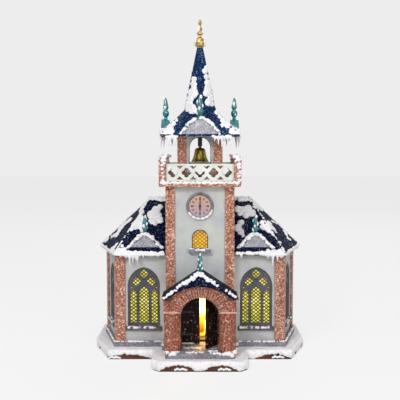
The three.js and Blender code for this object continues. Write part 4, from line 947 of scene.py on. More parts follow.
def hanging(heap, a, b, seed, radius, drips=0, longest=0.0):
    """A ragged lip of snow along an edge from a to b, with icicles below it."""
    rng = random.Random(seed)
    a, b = Vector(a), Vector(b)
    length = (b - a).length
    for k in range(int(length / 1.6) + 1):
        point = a.lerp(b, k * 1.6 / length)
        size = radius * rng.uniform(0.7, 1.15)
        sag = 2.2 * rough(point, 8, seed)
        heap.ball(point + Vector((0, 0, rng.uniform(-0.9, 0.3) + sag)),
                  (size, size * 0.8, size * rng.uniform(0.7, 1.4)))
    for k in range(drips):
        point = a.lerp(b, (k + rng.uniform(0.25, 0.75)) / drips)
        drop = longest * rng.uniform(0.35, 1.0)
        heap.icicle(point - Vector((0, 0, 0.5)), drop, radius * rng.uniform(0.62, 0.85))
        heap.ball(point - Vector((0, 0, 1.2)), (radius, radius * 0.8, radius * 1.1))
    return heap


SPIRE_LIP = -54.4  # of the eave, from the tower's axis
heap = Lumps()
for turn, _ in SIDES:
    wheel = at(0, TOWER_Y, 0, turn)
    for x0, x1, seed in ((-46, -31, 1), (18, 43, 2)):
        ends = [wheel @ Vector((x, SPIRE_LIP, 313.4)) for x in (x0, x1)]
        hanging(heap, *ends, seed + turn, 2.5)
    for x, drop in ((-43, 7), (-40.7, 13), (-37, 6), (-33.6, 15), (20, 7), (25.2, 12), (30, 16.5), (33.5, 6),
                    (37.8, 10), (42.6, 13)):
        heap.icicle(wheel @ Vector((x, SPIRE_LIP, 313)), drop, 2.3)
heap.melt("icicles_on_spire_eave", 0.6, 2)

# Nave roof snow: the rear is a mirror of the front
ROOF_SPOTS = [(160, 207, 3), (156, 210, 4.5), (152, 215, 5), (157, 216, 5), (160, 220, 3.5), (152, 221, 3.5),
              (155, 223, 3), (141, 212, 3.5), (139, 216, 4), (136, 220, 4.5), (140, 224, 5), (135, 226, 4),
              (143, 229, 4), (131, 228, 3.5), (144, 219, 3), (128, 223, 2.5), (124, 226, 2.6), (119, 230, 2.4),
              (115, 234, 2), (120, 238, 2.2), (116, 247, 2.5), (119, 251, 3.5), (124, 250, 3), (122, 246, 2),
              (128, 253, 3), (134, 254, 2.5), (238, 209, 3.5), (243, 210, 4), (248, 209, 4.5), (252, 213, 4),
              (246, 215, 3.5), (255, 206, 3), (240, 214, 2.5), (241, 223, 3.5), (238, 228, 4), (241, 232, 3.5),
              (243, 236, 2), (262, 222, 2.5), (264, 227, 4), (270, 229, 4.5), (275, 233, 4), (268, 223, 2.5),
              (279, 236, 2.5), (268, 215, 2), (273, 222, 2), (279, 228, 2), (285, 234, 1.6), (292, 248, 2.5),
              (287, 251, 3), (280, 252, 3.5), (274, 253, 4), (268, 252, 3)]


def strand(x0, y0, x1, y1, size, seed, gaps=0.1):
    """Spots in a row between two pixels."""
    rng = random.Random(seed)
    count = int(math.hypot(x1 - x0, y1 - y0) / 1.6)
    return [(x0 + (x1 - x0) * k / count + rng.uniform(-0.5, 0.5), y0 + (y1 - y0) * k / count + rng.uniform(-0.5, 0.5),
             size * rng.uniform(0.6, 1.35)) for k in range(count + 1) if rng.random() > gaps]


for hip in ((149, 198, 103, 248, 1.5, 1), (253, 200, 298, 248, 1.7, 2), (149, 198, 167, 199.5, 2.0, 3),
            (236, 199, 253, 199, 2.0, 4)):
    ROOF_SPOTS += strand(*hip)
roof_cover = blobs(ROOF_SPOTS)


def mirrored(covered):
    """The same cover behind the ridge."""
    return lambda point: covered(Vector((point.x, 2 * NAVE_Y - point.y, point.z)))


def drifted(seed):
    """A cover in lumps of its own, for slopes that the photograph hardly shows."""
    return lambda point: 7 * rough(point, 23, seed) + 2 * rough(point, 9, seed + 2) - 1.3


# The roof's corners: half its length at the long eaves, at the side corners and at the ridge, and half its depth
EAVE_END, SIDE_CORNER, RIDGE_END, EAVE_REACH = 120.5, 152.4, 76, 92.7
ROOF_FOOT, ROOF_TOP = 150, 222
for sign in (-1, 1):
    cover = roof_cover if sign < 0 else mirrored(roof_cover)
    front = NAVE_Y + sign * EAVE_REACH
    order = 1 if sign < 0 else -1
    low_left, low_right = (-EAVE_END, front, ROOF_FOOT), (EAVE_END, front, ROOF_FOOT)
    high_left, high_right = (-RIDGE_END, NAVE_Y, ROOF_TOP), (RIDGE_END, NAVE_Y, ROOF_TOP)
    for name, corners, cover in (("long", [low_left, low_right, high_right, high_left], cover),
                                 ("right", [low_right, (SIDE_CORNER, NAVE_Y, ROOF_FOOT), high_right], drifted(5)),
                                 ("left", [(-SIDE_CORNER, NAVE_Y, ROOF_FOOT), low_left, high_left], drifted(4))):
        snow_sheet("snow_on_roof_%s_%d" % (name, sign), corners[::order], cover, 2.4, 1.2)

heap = Lumps()
for sign in (-1, 1):
    front = NAVE_Y + sign * EAVE_REACH
    for x0, x1, seed, radius in ((-118, -88, 3, 3.0), (-88, -51, 4, 2.3), (51, 84, 5, 1.8), (84, 118, 6, 2.6)):
        hanging(heap, (x0, front, 149), (x1, front, 149), seed, radius)
        hanging(heap, (x0, front, 151.2), (x1, front, 151.2), seed + 9, radius * 0.8)
    for x, drop in ((-104, 6), (-99, 17), (-94.5, 13), (-90.5, 8), (-88, 15), (-80, 5), (58, 5), (96, 7), (102.5, 17),
                    (109, 10), (114, 5)):
        heap.icicle((x, front + sign * 0.6, 148), drop, 2.7)
    for side in (-1, 1):
        hanging(heap, (side * EAVE_END, front, 149.5), (side * SIDE_CORNER, NAVE_Y, 149.5), 7 + side, 2.0, 9, 9.0)
heap.melt("snow_on_nave_eaves", 0.8, 2)
heap = Lumps()
heap.along((-RIDGE_END, NAVE_Y, 222.4), (RIDGE_END, NAVE_Y, 222.4), 2.2, 2.2, 12, gaps=0.12)
for sx in (-1, 1):
    end = (sx * RIDGE_END, NAVE_Y, 222.4)
    for sy in (-1, 1):
        heap.along(end, (sx * EAVE_END, NAVE_Y + sy * EAVE_REACH, 150.6), 1.5, 2.0, 13 + sx + sy, gaps=0.3)
    heap.along(end, (sx * SIDE_CORNER, NAVE_Y, 150.6), 1.7, 2.0, 17 + sx, gaps=0.15)
heap.melt("snow_on_ridges", 0.8, 2)

# Ground snow: a blanket with a ragged skirt over the board's edge
HALF_BOARD = [(55, -128), (64, -119), (64, -73), (128.5, -73), (152.5, -12), (152.5, 68), (116.5, 128)]
BOARD = HALF_BOARD + [(-x, y) for x, y in reversed(HALF_BOARD)]
# Where the board shows: x, y, half width and height in mm
BARE = [(-30, -128, 24, 7.2), (28, -128, 23, 7.2), (-102, -73, 33, 5.6), (104, -73, 26, 5.6), (-150, -30, 9, 5),
        (148, -20, 9, 5)]


def ground_snow():
    """The blanket's top is a fine grid; its skirt is a ribbon of rings round the board."""
    rim = []
    for (x0, y0), (x1, y1) in zip(BOARD, BOARD[1:] + BOARD[:1]):
        length = math.hypot(x1 - x0, y1 - y0)
        for k in range(int(length / 1.1)):
            rim.append((x0 + (x1 - x0) * k * 1.1 / length, y0 + (y1 - y0) * k * 1.1 / length))
    total = len(rim)
    outward = []
    for k in range(total):
        (ax, ay), (bx, by) = rim[(k - 3) % total], rim[(k + 3) % total]
        length = math.hypot(bx - ax, by - ay)
        outward.append(((by - ay) / length, -(bx - ax) / length))

    def hem(x, y):
        """Height of the skirt's lower edge above the table."""
        bare = max(height * max(0, 1 - (math.hypot(x - px, y - py) / reach) ** 2) for px, py, reach, height in BARE)
        if y > -60:
            bare = max(bare, 9 * rough((x, y, 0), 30, 4))
        tips = 1.3 * abs(rough((x, y, 5), 3.4, 2)) + 1.5 * abs(rough((x, y, 9), 7, 6))
        return 0.5 + (tips if bare < 0.5 else 1.8 * tips) + max(bare, 0)

    verts, faces = [], []
    for k, (x, y) in enumerate(rim):
        low = hem(x, y)
        puff = 1.9 + 0.7 * rough((x, y, 2), 5, 1)
        dx, dy = outward[k]
        section = ((-7, 13.2), (-3, 14.0), (-0.6, 14.0), (puff - 0.7, 13.3), (puff, 11.6),
                   (puff + 0.2, (12 + low) / 2), (puff, low + 1.2), (puff - 0.9, low), (0.1, low + 0.4))
        for reach, z in section:
            verts.append((x + dx * reach, y + dy * reach, z + 0.35 * rough((x, y, z), 4, 3)))
    rings = len(section)
    for k in range(total):
        for ring in range(rings - 1):
            a, b = k * rings + ring, ((k + 1) % total) * rings + ring
            faces.append((a, a + 1, b + 1, b))
    skirt = piece("ground_snow_skirt", verts, faces, snow_white, smooth=True)
    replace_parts(skirt, "ground_snow")
    return skirt


def within(x, y, outline, inset):
    """Whether a point is inside an outline by at least an inset."""
    odd, near = False, 1e9
    for (x0, y0), (x1, y1) in zip(outline, outline[1:] + outline[:1]):
        if (y0 > y) != (y1 > y) and x < (x1 - x0) * (y - y0) / (y1 - y0) + x0:
            odd = not odd
        along = ((x - x0) * (x1 - x0) + (y - y0) * (y1 - y0)) / ((x1 - x0) ** 2 + (y1 - y0) ** 2)
        along = min(max(along, 0), 1)
        near = min(near, math.hypot(x - x0 - along * (x1 - x0), y - y0 - along * (y1 - y0)))
    return odd and near > inset


NAVE_PLAN = [(-118, NAVE_FRONT), (118, NAVE_FRONT), (141, NAVE_Y), (118, 109.15), (-118, 109.15), (-141, NAVE_Y)]
ground_snow()
verts, faces, index = [], [], {}
PITCH_OF_TOP = 2.6  # of the grid of the blanket's top, mm
for i in range(-58, 59):
    for j in range(-49, 50):
        x, y = i * PITCH_OF_TOP, j * PITCH_OF_TOP
        under_tower = abs(x) < 48 and -72 < y < 20
        under_step = abs(x) < 45 and -116 < y < -70
        if within(x, y, BOARD, 1.5) and not (within(x, y, NAVE_PLAN, 1) or under_tower or under_step):
            index[i, j] = len(verts)
            verts.append((x, y, 14.1 + 0.45 * rough((x, y, 0), 9, 2) + 0.25 * rough((x, y, 0), 3, 5)))
for i, j in index:
    keys = [(i, j), (i + 1, j), (i + 1, j + 1), (i, j + 1)]
    if all(k in index for k in keys):
        faces.append([index[k] for k in keys])
piece("ground_snow_top", verts, faces, snow_white, smooth=True)

heap = Lumps()
for u, v, y in ((180.6, 369.4, -130), (224.4, 369.4, -130), (114.5, 357.4, -75), (278, 357, -75)):
    spot = seen(u, v, y)
    for dx, dz, r in ((-7.2, -0.6, 1.9), (-4.2, 0.6, 2.3), (-0.8, -0.4, 2.0), (2.6, 0.5, 2.4), (5.9, -0.3, 2.0),
                      (8.0, -0.8, 1.5)):
        heap.ball(spot + Vector((dx, 0, dz)), (r, 1.2, r * 0.85))
heap.melt("snow_dabs_on_board", 0.6, 2)

# Windows: tracery plate, sill and leaded pane, in the frame of their wall


def window(side, matrix, seed):
    foot = 42.7
    lights = [pointed(13.4, 47.5, foot + 46, foot + 58)]
    lobes = ((0, 1), (-0.8, 0), (-0.9, -0.6), (0, -1), (0.9, -0.6), (0.8, 0))
    for sign in (-1, 1):
        lights.append(shifted(pointed(9.0, 47.5, foot + 44.4, foot + 52.5), sign * 15))
        lights.append(quatrefoil(sign * 10.2, foot + 64.2, 11.6))
        lights.append([(sign * 17.4 + 1.4 * c, 99.7 + 2.6 * q) for c, q in lobes])
        lights.append(arc(sign * 9.9, 116.6, 1.0, 0, 330, 11))
    lights.append(quatrefoil(0, foot + 75.6, 11.6))
    lights.append(arc(0, 110.4, 1.0, 0, 330, 11))
    outline = pointed(45.9, foot + 0.2, foot + 58.3, foot + 85.4, 20)
    made = plate("window_%s_tracery" % side, [outline] + lights, 0.8, 2.5, matrix, tracery_grey, edge=0.35)
    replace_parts(made, "window_tracery_" + side)
    # A moulded rim stands round the plate and slim ribs outline the three tall lights
    inner = pointed(41.8, foot + 2.2, foot + 58.3, foot + 83.2, 20)
    plate("window_%s_rim" % side, [outline, inner], -0.1, 1.4, matrix, tracery_grey, edge=0.4)
    for x, width, top in ((0, 15.2, 59.2), (-15, 10.8, 53.8), (15, 10.8, 53.8)):
        rib = shifted(pointed(width, 46.6, foot + top - width * 0.8, foot + top), x)
        hole = shifted(pointed(width - 1.4, 47.4, foot + top - width * 0.8, foot + top - 1.0), x)
        plate("window_%s_rib" % side, [rib, hole], 0.2, 0.9, matrix, tracery_grey, edge=0.25)
    sill = [(-25.7, 37.0), (25.7, 37.0), (25.7, 42.5), (-25.7, 42.5)]
    plate("window_%s_sill" % side, [sill], -4.0, 8.0, matrix, tracery_grey, edge=0.6)
    pane = pointed(45.9, foot + 1.6, foot + 58.3, foot + 85.4, 20)
    made = plate("window_%s_pane" % side, [pane], 3.6, 1.4, matrix, yellow_acetate, edge=0.1)
    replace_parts(made, "window_pane_" + side)
    heap = Lumps()
    for first, last in ((-22, -4), (1, 17)) if seed % 2 else ((-22, 2), (9, 20)):
        heap.along(matrix @ Vector((first, -2.8, 41.2)), matrix @ Vector((last, -2.8, 41.2)), 1.9, 1.9, seed, 0, 0.75,
                   0.08)
        heap.along(matrix @ Vector((first + 1, -0.6, 42.4)), matrix @ Vector((last - 1, -0.6, 42.4)), 1.3, 2.0,
                   seed + 1, 0, 0.5, 0.1)
    heap.melt("snow_on_window_%s_sill" % side, 0.6, 2)


window("front_left", at(-80.3, NAVE_FRONT, 0), 1)
window("front_right", at(80.3, NAVE_FRONT, 0), 2)
window("side_left", at(-129.5, -13.4, 0, -74.28), 3)
window("side_right", at(129.5, -13.4, 0, 74.28), 4)
SPRINGING = 172.75
HERE = at(0, 0, 0)
small = plate("tower_window_leaded_pane", [round_head(24.5, 156, SPRINGING)], -64.95, 1.4, HERE, amber_acetate,
              edge=0.1)
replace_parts(small, "tower_window_pane")
rim = [round_head(22.4, 157.2, SPRINGING), round_head(20.4, 158.1, SPRINGING)]
plate("tower_window_rim", rim, -70.9, 1.2, HERE, iron_black, edge=0.3)

# Clock: rolled bezel, dial with hour bars, pointed hands
BEZEL = [(19.0, 0.0), (19.0, 1.4), (18.6, 2.6), (17.8, 3.3), (17.0, 3.4), (16.3, 2.9), (15.9, 2.2), (15.2, 1.9),
         (14.8, 1.2), (14.75, 0.4)]
CARD = [(0, 0.8), (14.7, 0.8), (14.7, 1.1), (12.9, 1.16), (12.8, 1.05), (0, 1.05)]
CLOCK = (0, -70.25, 217)
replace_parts(turned("clock_bezel_rolled", rounded(BEZEL, 3), CLOCK, 64, satin_nickel, "Y"), "clock_case")
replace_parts(turned("clock_face_card", CARD, CLOCK, 64, rose_card, "Y", smooth=False), "clock_dial")
for hour in range(12):
    turn = math.radians(30 * hour)
    wide = 0.75 if hour % 3 else 1.05
    inside, outside = (9.4, 12.5) if hour % 3 else (8.6, 12.6)
    out, side = Vector((math.sin(turn), 0, math.cos(turn))), Vector((math.cos(turn), 0, -math.sin(turn)))
    middle = Vector((0, -71.45, CLOCK[2]))
    ends = ((inside, -wide * 0.7), (inside, wide * 0.7), (outside, wide), (outside, -wide))
    bar = [middle + out * r + side * w + Vector((0, d, 0)) for d in (0, 0.3) for r, w in ends]
    sides = [(0, 1, 2, 3), (4, 5, 6, 7), (0, 1, 5, 4), (1, 2, 6, 5), (2, 3, 7, 6), (3, 0, 4, 7)]
    piece("hour_bar_%d" % hour, bar, sides, oxblood)


def clock_hand(name, node, length, width, front, flip):
    """A slim pointed hand with a disc at the arbor and a short tail; flip is 1 where it points up, -1 down."""
    blade = [(-0.5, -2.6), (0.5, -2.6), (width, length * 0.55), (0.35, length * 0.7), (0.2, length), (-0.2, length),
             (-0.35, length * 0.7), (-width, length * 0.55)]
    shape = [(x * flip, z * flip) for x, z in blade]
    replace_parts(plate(name, [shape], front, 0.5, at(0, 0, CLOCK[2]), oxblood, node, 0.1), node)
    plate(name + "_disc", [arc(0, 0, 1.5, 0, 345, 23)], front, 0.5, at(0, 0, CLOCK[2]), oxblood, node, 0.1)


clock_hand("minute_hand_pointed", "minute_hand", 11.4, 0.45, -73.15, 1)
clock_hand("hour_hand_pointed", "hour_hand", 8.4, 0.95, -72.3, -1)
BEZEL_CREST = 17.6  # radius
heap = Lumps()
for degrees in range(-152, -18, 4):
    lean = math.radians(degrees)
    size = 1.7 * (0.85 + 0.25 * math.sin(degrees * 0.3))
    spot = (BEZEL_CREST * math.cos(lean), -73.3, CLOCK[2] + BEZEL_CREST * math.sin(lean))
    heap.ball(spot, (size, size * 0.7, size))
heap.ball((-18.4, -73.2, 226), (0.9, 0.6, 1.2))
heap.melt("snow_on_bezel", 0.5, 2)
heap = Lumps()
heap.along((-14, -73.4, 157.2), (14, -73.4, 157.2), 1.6, 2.0, 5, 0, 0.5, 0.15)
heap.along((-5, -75.8, 156.2), (6, -75.8, 156.2), 1.5, 1.8, 6, -0.4, 1.2, 0.1)
heap.melt("snow_on_small_sill", 0.6, 2)

# Belfry: grey arch panels with a moulded trim
for turn, side in SIDES:
    place = at(0, TOWER_Y, 0, turn)
    opening = round_head(31, 257, 297.7)
    panel = [(-18.8, 251.3), (18.8, 251.3), (18.8, 314.3), (-18.8, 314.3)]
    plate("belfry_panel_" + side, [panel, opening], -31.3, 0.8, place, grey_wall, edge=0.15)
    trim = arc(0, 297.7, 17.6, 0, 180, 28) + [(-17.6, 251.4), (-15.5, 251.4)]
    trim += arc(0, 297.7, 15.5, 180, 0, 28) + [(15.5, 251.4), (17.6, 251.4)]
    plate("belfry_trim_" + side, [trim], -32.2, 1.5, place, pale_trim, edge=0.5)

# Bell, as turned
BELL = [(12.7, 277.5), (12.7, 278.1), (12.1, 279.0), (10.9, 281.0), (9.7, 284.3), (8.6, 288.5), (7.9, 292.6),
        (7.0, 295.6), (5.2, 297.2), (2.4, 297.7), (0, 297.7)]
INSIDE = [(0, 295.9), (4.4, 295.4), (6.4, 292.4), (7.2, 288.4), (8.2, 284.2), (9.4, 281.0), (11.0, 278.2),
          (11.3, 277.5)]
AXIS = (0, TOWER_Y, 0)
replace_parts(turned("bell_turned", rounded(BELL, 4) + rounded(INSIDE, 3), AXIS, 56, aged_brass, body="bell"), "bell")
for z, r in ((281.4, 10.9), (283.2, 10.25), (294.3, 7.65)):
    ring = [(r - 0.3, z - 0.5), (r + 0.25, z - 0.2), (r + 0.25, z + 0.2), (r - 0.4, z + 0.5)]
    turned("bell_ring", ring, AXIS, 56, aged_brass, body="bell")
EYELET = [(0, -2), (2.9, -2), (3.2, -1.6), (3.2, 1.6), (2.9, 2), (0, 2)]
turned("bell_eye", EYELET, (0, TOWER_Y, 301.8), 32, aged_brass, "Y", "bell")
NECK = [(2.6, 297.3), (1.9, 298.6), (1.8, 300.2), (2.0, 301.0)]
turned("bell_neck", rounded(NECK, 3), AXIS, 24, aged_brass, body="bell", caps=True)

# Top finial, gold plated, with snow on its shoulders
TOP = [(0, 0), (4.0, 0), (4.3, 0.8), (6.6, 3), (7.6, 6), (7.7, 9), (6.4, 12.6), (3.8, 14.8), (2.4, 15.6), (2.3, 18),
       (4.4, 19.8), (4.6, 20.6), (4.4, 21.4), (3.2, 22.4), (2.2, 24.3), (3.4, 26.2), (2.9, 28), (1.7, 31.2),
       (1.4, 32.6), (2.2, 34.4), (2.3, 37), (1.4, 39.3), (0, 40.2)]
TOP_Z = 440.3  # where it stands on the spire
top = turned("top_finial_turned", rounded(TOP, 3), (0, TOWER_Y, TOP_Z), 48, gold_plate, caps=True)
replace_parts(top, "top_finial")
heap = Lumps()
for x, y, z, r in ((6.4, -3.4, 8.2, 2.8), (7.2, -2, 4.6, 2.4), (6.4, -1, 11, 2.5), (-6.6, -3.2, 8.6, 2.3),
                   (-7.2, -1.5, 5.4, 2.3), (-5.8, -1.5, 11.8, 2.2), (3.8, -1, 13.4, 2.1), (-2.6, -2, 24.5, 2.4),
                   (-1.8, -2.2, 27.5, 2.0), (-1.0, -1.8, 30.2, 1.4), (-3.2, -1, 22.4, 2.0), (1.4, 1.4, 27, 1.5),
                   (0, 5.8, 8, 2.4), (-4, 4, 5, 2)):
    heap.ball((x, TOWER_Y + y, TOP_Z + z), (r, r, r * 1.1))
heap.melt("snow_on_top_finial", 0.6, 2)

# Porch: roof board, finial, brick arch, bands and corbels
SOFFIT = arc(0, 51.9, 60.9, 128.6, 51.4, 32)
made = plate("porch_roof_board", [[(-51.4, 94.95), *SOFFIT, (51.4, 94.95), (51.4, 96.7), (0, 131), (-51.4, 96.7)]],
             -119.2, 46.5, HERE, navy_glitter, edge=0.3)
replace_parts(made, "porch_roof")
PORCH_FINIAL = (-114.25, 132)  # y and z of its foot
finial("porch_finial", 0, *PORCH_FINIAL, 26.5)
ARCH_Z = 70.97
BRICK, FIRST_BRICK = 6.2, 12.5  # degrees: what one brick takes, and where the first starts
ring = arc(0, ARCH_Z, 38.2, 10, 170, 48) + arc(0, ARCH_Z, 26.3, 170, 10, 48)
plate("arch_mortar", [ring], -116.1, 0.6, HERE, mortar_pink, edge=0.1)
for k in range(25):
    first, last = FIRST_BRICK + k * BRICK, FIRST_BRICK + (k + 1) * BRICK
    brick = arc(0, ARCH_Z, 38.4, first + 0.55, last - 0.55, 3) + arc(0, ARCH_Z, 26.1, last - 0.75, first + 0.75, 3)
    plate("arch_brick_%d" % k, [brick], -116.75, 1.1, HERE, brick_dark if k % 2 else brick_glitter, edge=0.25)
for sign in (-1, 1):
    for z in (35.7, 76.2):
        band = [(11.2, z - 1.3), (11.65, z - 1.0), (11.85, z), (11.65, z + 1.0), (11.2, z + 1.3)]
        turned("column_band", rounded(band, 3), (sign * 37.5, -104.25, 0), 40, mortar_pink, caps=True)
    band = [(sign * 26.1, 76.0), (sign * 49.2, 76.0), (sign * 49.2, 78.2), (sign * 26.1, 78.2)]
    plate("impost_band", [band], -116.55, 4, HERE, mortar_pink, edge=0.3)
    corbel = [(sign * 37.2, 98.6), (sign * 44.2, 97.2), (sign * 44.2, 95.0), (sign * 42.6, 93.9), (sign * 38.8, 93.9),
              (sign * 37.2, 95.0)]
    plate("eave_corbel", [corbel], -118.4, 12, HERE, iron_black, edge=0.3)
PORCH_FACE = -119.0
heap = Lumps()
for u, v, r in ((178, 287.5, 1.6), (181, 285.5, 2.1), (184.5, 283, 2.5), (188, 280.5, 2.5), (192, 278, 2.5),
                (195.5, 275.5, 2.5), (199, 274, 2.7), (202.5, 275, 2.5), (206, 277.5, 2.4), (209.5, 280.5, 2.1),
                (213, 283, 1.9), (216.5, 285.3, 1.6), (166.5, 296.6, 1.3), (169, 294.6, 1.8), (172, 292.6, 2),
                (175, 291, 1.3), (227, 290.5, 1.5), (230, 292.5, 1.8), (233, 295, 1.6), (163.2, 298, 1.3),
                (236, 297, 1.2), (186, 283.5, 1.6), (194, 279.6, 1.6), (208, 281, 1.5)):
    rng = random.Random(int(u * 10))
    for k in range(4):
        spot = seen(u + rng.uniform(-1.6, 1.6), v + rng.uniform(-1.0, 1.0), PORCH_FACE)
        heap.ball(spot, (r * rng.uniform(0.9, 1.3), 1.3, r * rng.uniform(0.8, 1.15)))
for side, front, where, size in ((0.2, -2.6, 24, 1.5), (-1.8, -1.6, 17, 1.6), (1.6, -1.8, 13.5, 1.6),
                                 (2.4, -1.8, 5.5, 1.9), (-2.2, -1.6, 4.4, 1.5), (0.3, -2.8, 9.5, 1.4)):
    heap.ball((side, PORCH_FINIAL[0] + front, PORCH_FINIAL[1] + where), (size, size, size * 1.4))
heap.melt("snow_on_porch_roof", 0.6, 2)

# Doors: planked leaves with straps, rings and knuckles; the right one stands open
HINGE_X, HINGE_Y = 27.1, -76.75
LEAF_FOOT, LEAF_RADIUS = 22.4, 25.6
PLANK, GROOVE, STILE = 6.34, 0.35, 1.45  # pitch of the planks, gap between them, start of the first
STRAP = [(0.4, -1.6), (11, -1.1), (13.4, -1.9), (15.2, -0.9), (17.6, 0), (15.2, 0.9), (13.4, 1.9), (11, 1.1),
         (0.4, 1.6)]


def leaf_top(x):
    """Height of a leaf's round head at a distance from its hinge."""
    return ARCH_Z + math.sqrt(max(LEAF_RADIUS ** 2 - (HINGE_X - x) ** 2, 0))


for sign, side, turn in ((-1, "left", 0), (1, "right", 55)):
    body, place = "door_" + side, at(sign * HINGE_X, HINGE_Y, 0, turn)
    for k in range(4):
        near, far = STILE + k * PLANK, STILE + (k + 1) * PLANK - GROOVE
        head = [(-sign * x, leaf_top(x)) for x in (near + (far - near) * t for t in (0, 0.34, 0.67, 1))]
        board = [(-sign * far, LEAF_FOOT), (-sign * near, LEAF_FOOT)] + head
        plate("%s_plank_%d" % (body, k), [board], 1.8, 3.0, place, walnut_stain, body, 0.3)
    head = [(-sign * x, leaf_top(x)) for x in (1.5, 2.5, 4, 6, 9, 13, 18, 26.6)]
    back = [(-sign * 26.6, LEAF_FOOT), (-sign * 1.5, LEAF_FOOT)] + head
    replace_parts(plate(body + "_back", [back], 4.3, 1.6, place, walnut_stain, body, 0.3), body)
    for z in (36.45, 68.45):
        strap = [(-sign * x, z + h) for x, h in STRAP]
        plate("%s_strap" % body, [strap], 0.9, 1.0, place, iron_black, body, 0.2)
        verts, faces = lathe([(0.8, -2.45), (1.55, -2.45), (1.6, -2.2), (1.6, 2.2), (1.55, 2.45), (0.8, 2.45)],
                             (0, 0, z), 20)
        piece("%s_knuckle" % body, [place @ Vector(v) for v in verts], faces[:-2], iron_black, body, smooth=True)
    verts, faces = [], []
    radius, wire = 2.6, 0.62
    for i in range(28):
        around, following = 2 * math.pi * i / 28, (i + 1) % 28 * 8
        for j in range(8):
            across = 2 * math.pi * j / 8
            reach = radius + wire * math.cos(across)
            point = (-sign * 19.6 + reach * math.cos(around), 1.25 + wire * math.sin(across),
                     54.7 + reach * math.sin(around))
            verts.append(place @ Vector(point))
            faces.append((i * 8 + j, i * 8 + (j + 1) % 8, following + (j + 1) % 8, following + j))
    piece("%s_ring" % body, verts, faces, iron_black, body, smooth=True)
heap = Lumps()  # it clears the column when the leaf is open
heap.along((-24.5, -75.4, 23.6), (-9.5, -75.4, 23.6), 1.4, 1.4, 9, 0, 0.85, 0.0, 0.25)
heap.melt("snow_on_left_door_foot", 0.5, 1, "door_left")

# Step with rounded front corners
STEP_TOP, ROUNDING = 21.6, 9
STEP_SIDE, STEP_BEND = 47.3, -110.1  # where the side runs and where the rounding starts
PLAN = [(STEP_SIDE, -78.2), (STEP_SIDE, STEP_BEND)]
for degrees in range(-10, -91, -10):
    lean = math.radians(degrees)
    PLAN.append((38.3 + ROUNDING * math.cos(lean), STEP_BEND + ROUNDING * math.sin(lean)))
PLAN += [(-x, y) for x, y in reversed(PLAN)]
count = len(PLAN)
verts = [(x, y, z) for z in (11.1, STEP_TOP) for x, y in PLAN]
faces = [tuple(range(count)), tuple(range(count, 2 * count))]
faces += [(k, (k + 1) % count, (k + 1) % count + count, k + count) for k in range(count)]
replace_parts(piece("entrance_step_slab", verts, faces, granite_spray, bevel=0.8), "entrance_step")

# Snow on the step, the threshold and the plinth's edges
heap = Lumps()
rng = random.Random(8)
STEP_SPOTS = [(166.3, 349.5, 1.8), (167.4, 352.5, 2.6), (169.4, 348, 2.2), (170.6, 351.4, 2.8), (173.5, 353.8, 2.8),
              (176, 352.8, 2.3), (171, 355, 2), (178.5, 351.8, 1.4), (168.4, 345.4, 1.6), (235.3, 349, 2.2),
              (234, 352, 2.8), (231.5, 350, 2.8), (229, 353.5, 2.6), (226.5, 353.5, 2), (232, 355.3, 2.2),
              (233.5, 346, 2.2), (235.4, 344, 1.6), (223.5, 354.3, 1.5), (187, 352.6, 1.1), (190, 353, 1.2),
              (193, 352.6, 1.1), (196, 353, 1.2), (199, 352.7, 1.1), (202, 352.5, 1), (211, 352.8, 1.1),
              (214, 353.4, 1.4), (217, 353.6, 1.5), (220, 354, 1.4)]
STEP_FACE, STEP_EDGE = -118.6, 21.7
for u, v, r in STEP_SPOTS:
    for k in range(4):
        spot = seen(u + rng.uniform(-1, 1), v + rng.uniform(-0.7, 0.7), STEP_FACE)
        if spot.z > STEP_EDGE:  # it lies on the step
            spot = seen(u + rng.uniform(-1, 1), v, STEP_FACE + (spot.z - STEP_EDGE) * 3.4)
            spot.z = 21.9
        heap.ball(spot, (r * rng.uniform(1.0, 1.45), 1.6, r * rng.uniform(0.85, 1.25)))
heap.along((12, -107.5, 22.0), (23, -107.5, 22.0), 1.8, 2, 10, 0, 0.8, 0.0)
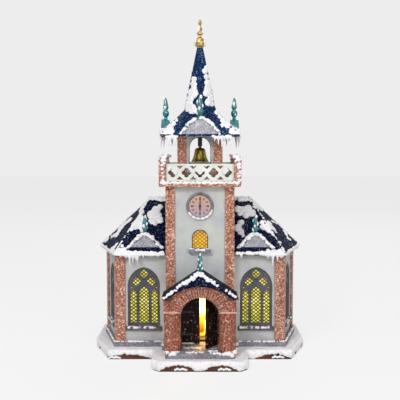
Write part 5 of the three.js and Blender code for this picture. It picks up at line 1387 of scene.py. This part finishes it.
for sx in (-1, 1):
    heap.along((sx * 122, -59.3, 21.8), (sx * 54, -59.3, 21.8), 1.6, 1.9, 40 + sx, 0, 0.8, 0.3)
    heap.along((sx * 122, -59.6, 21.8), (sx * 146, 26.5, 21.8), 1.5, 1.9, 42 + sx, 0, 0.8, 0.3)
    corner = (sx * 53.2, -77.3, STEP_TOP)
    heap.along(corner, (sx * 48.5, -77.3, STEP_TOP), 1.5, 1.6, 44 + sx, 0, 0.9, 0.0)
    heap.along(corner, (sx * 53.2, -61, STEP_TOP), 1.4, 1.7, 46 + sx, 0, 0.9, 0.1)
heap.melt("snow_on_step_and_plinth", 0.65, 2)

# A thin film lies where the doors pass over
threshold = strand(184, 347.5, 200, 348.4, 1.5, 51, 0.05) + strand(212.5, 348.8, 221, 347.4, 1.3, 52, 0.05)
corners = [(x, y, STEP_TOP) for x, y in ((-25, -97), (31, -97), (31, -80), (-25, -80))]
snow_sheet("snow_on_threshold", corners, blobs(threshold), 0.3, 0.8)

# Balcony snow: along the slab, which shows below it, and down the corner posts
SLAB_ROW = [(161 + k * 1.25, 182.9 + 0.5 * math.sin(k * 1.9),
             0.95 + 0.45 * math.sin(k * 0.83) * math.sin(k * 2.1)) for k in range(63)]
POSTS = [(163.5, 157.4, 2), (162, 160.5, 1.8), (166, 156.4, 1.7), (161.8, 165, 1.4), (162.2, 169, 1.5),
         (161.9, 173, 1.2), (162.8, 177, 1.4), (162.3, 181, 1.8), (164.5, 163.5, 1.1), (165.5, 160.5, 1.1),
         (164, 183.5, 1.5), (236.6, 157.2, 2.1), (238.5, 160, 1.9), (234, 156.6, 1.5), (239.4, 164, 1.5),
         (239, 168, 1.4), (239.6, 172, 1.5), (239.2, 176, 1.3), (239.6, 180, 1.7), (238.2, 183.4, 1.6),
         (236, 161.4, 1.1), (237.6, 166, 0.9), (237.2, 174, 0.8)]
RAIL_FACE, DECK_HALF = -80.9, 56.5
rng = random.Random(21)
heap = Lumps()
for turn, _ in SIDES:
    whirl = at(0, TOWER_Y, 0, turn) @ at(0, -TOWER_Y, 0)
    for u, v, r in SLAB_ROW + POSTS:
        for k in range(3):
            spot = seen(u + rng.uniform(-0.8, 0.8), v + rng.uniform(-0.5, 0.5), RAIL_FACE)
            size = r * 1.35 * rng.uniform(0.8, 1.2)
            spot.x = max(min(spot.x, DECK_HALF), -DECK_HALF)
            thin = min(size, 1.6)
            heap.ball(whirl @ spot, (thin, size, size) if turn % 180 else (size, thin, size))
heap.melt("snow_on_balcony", 0.7, 2)
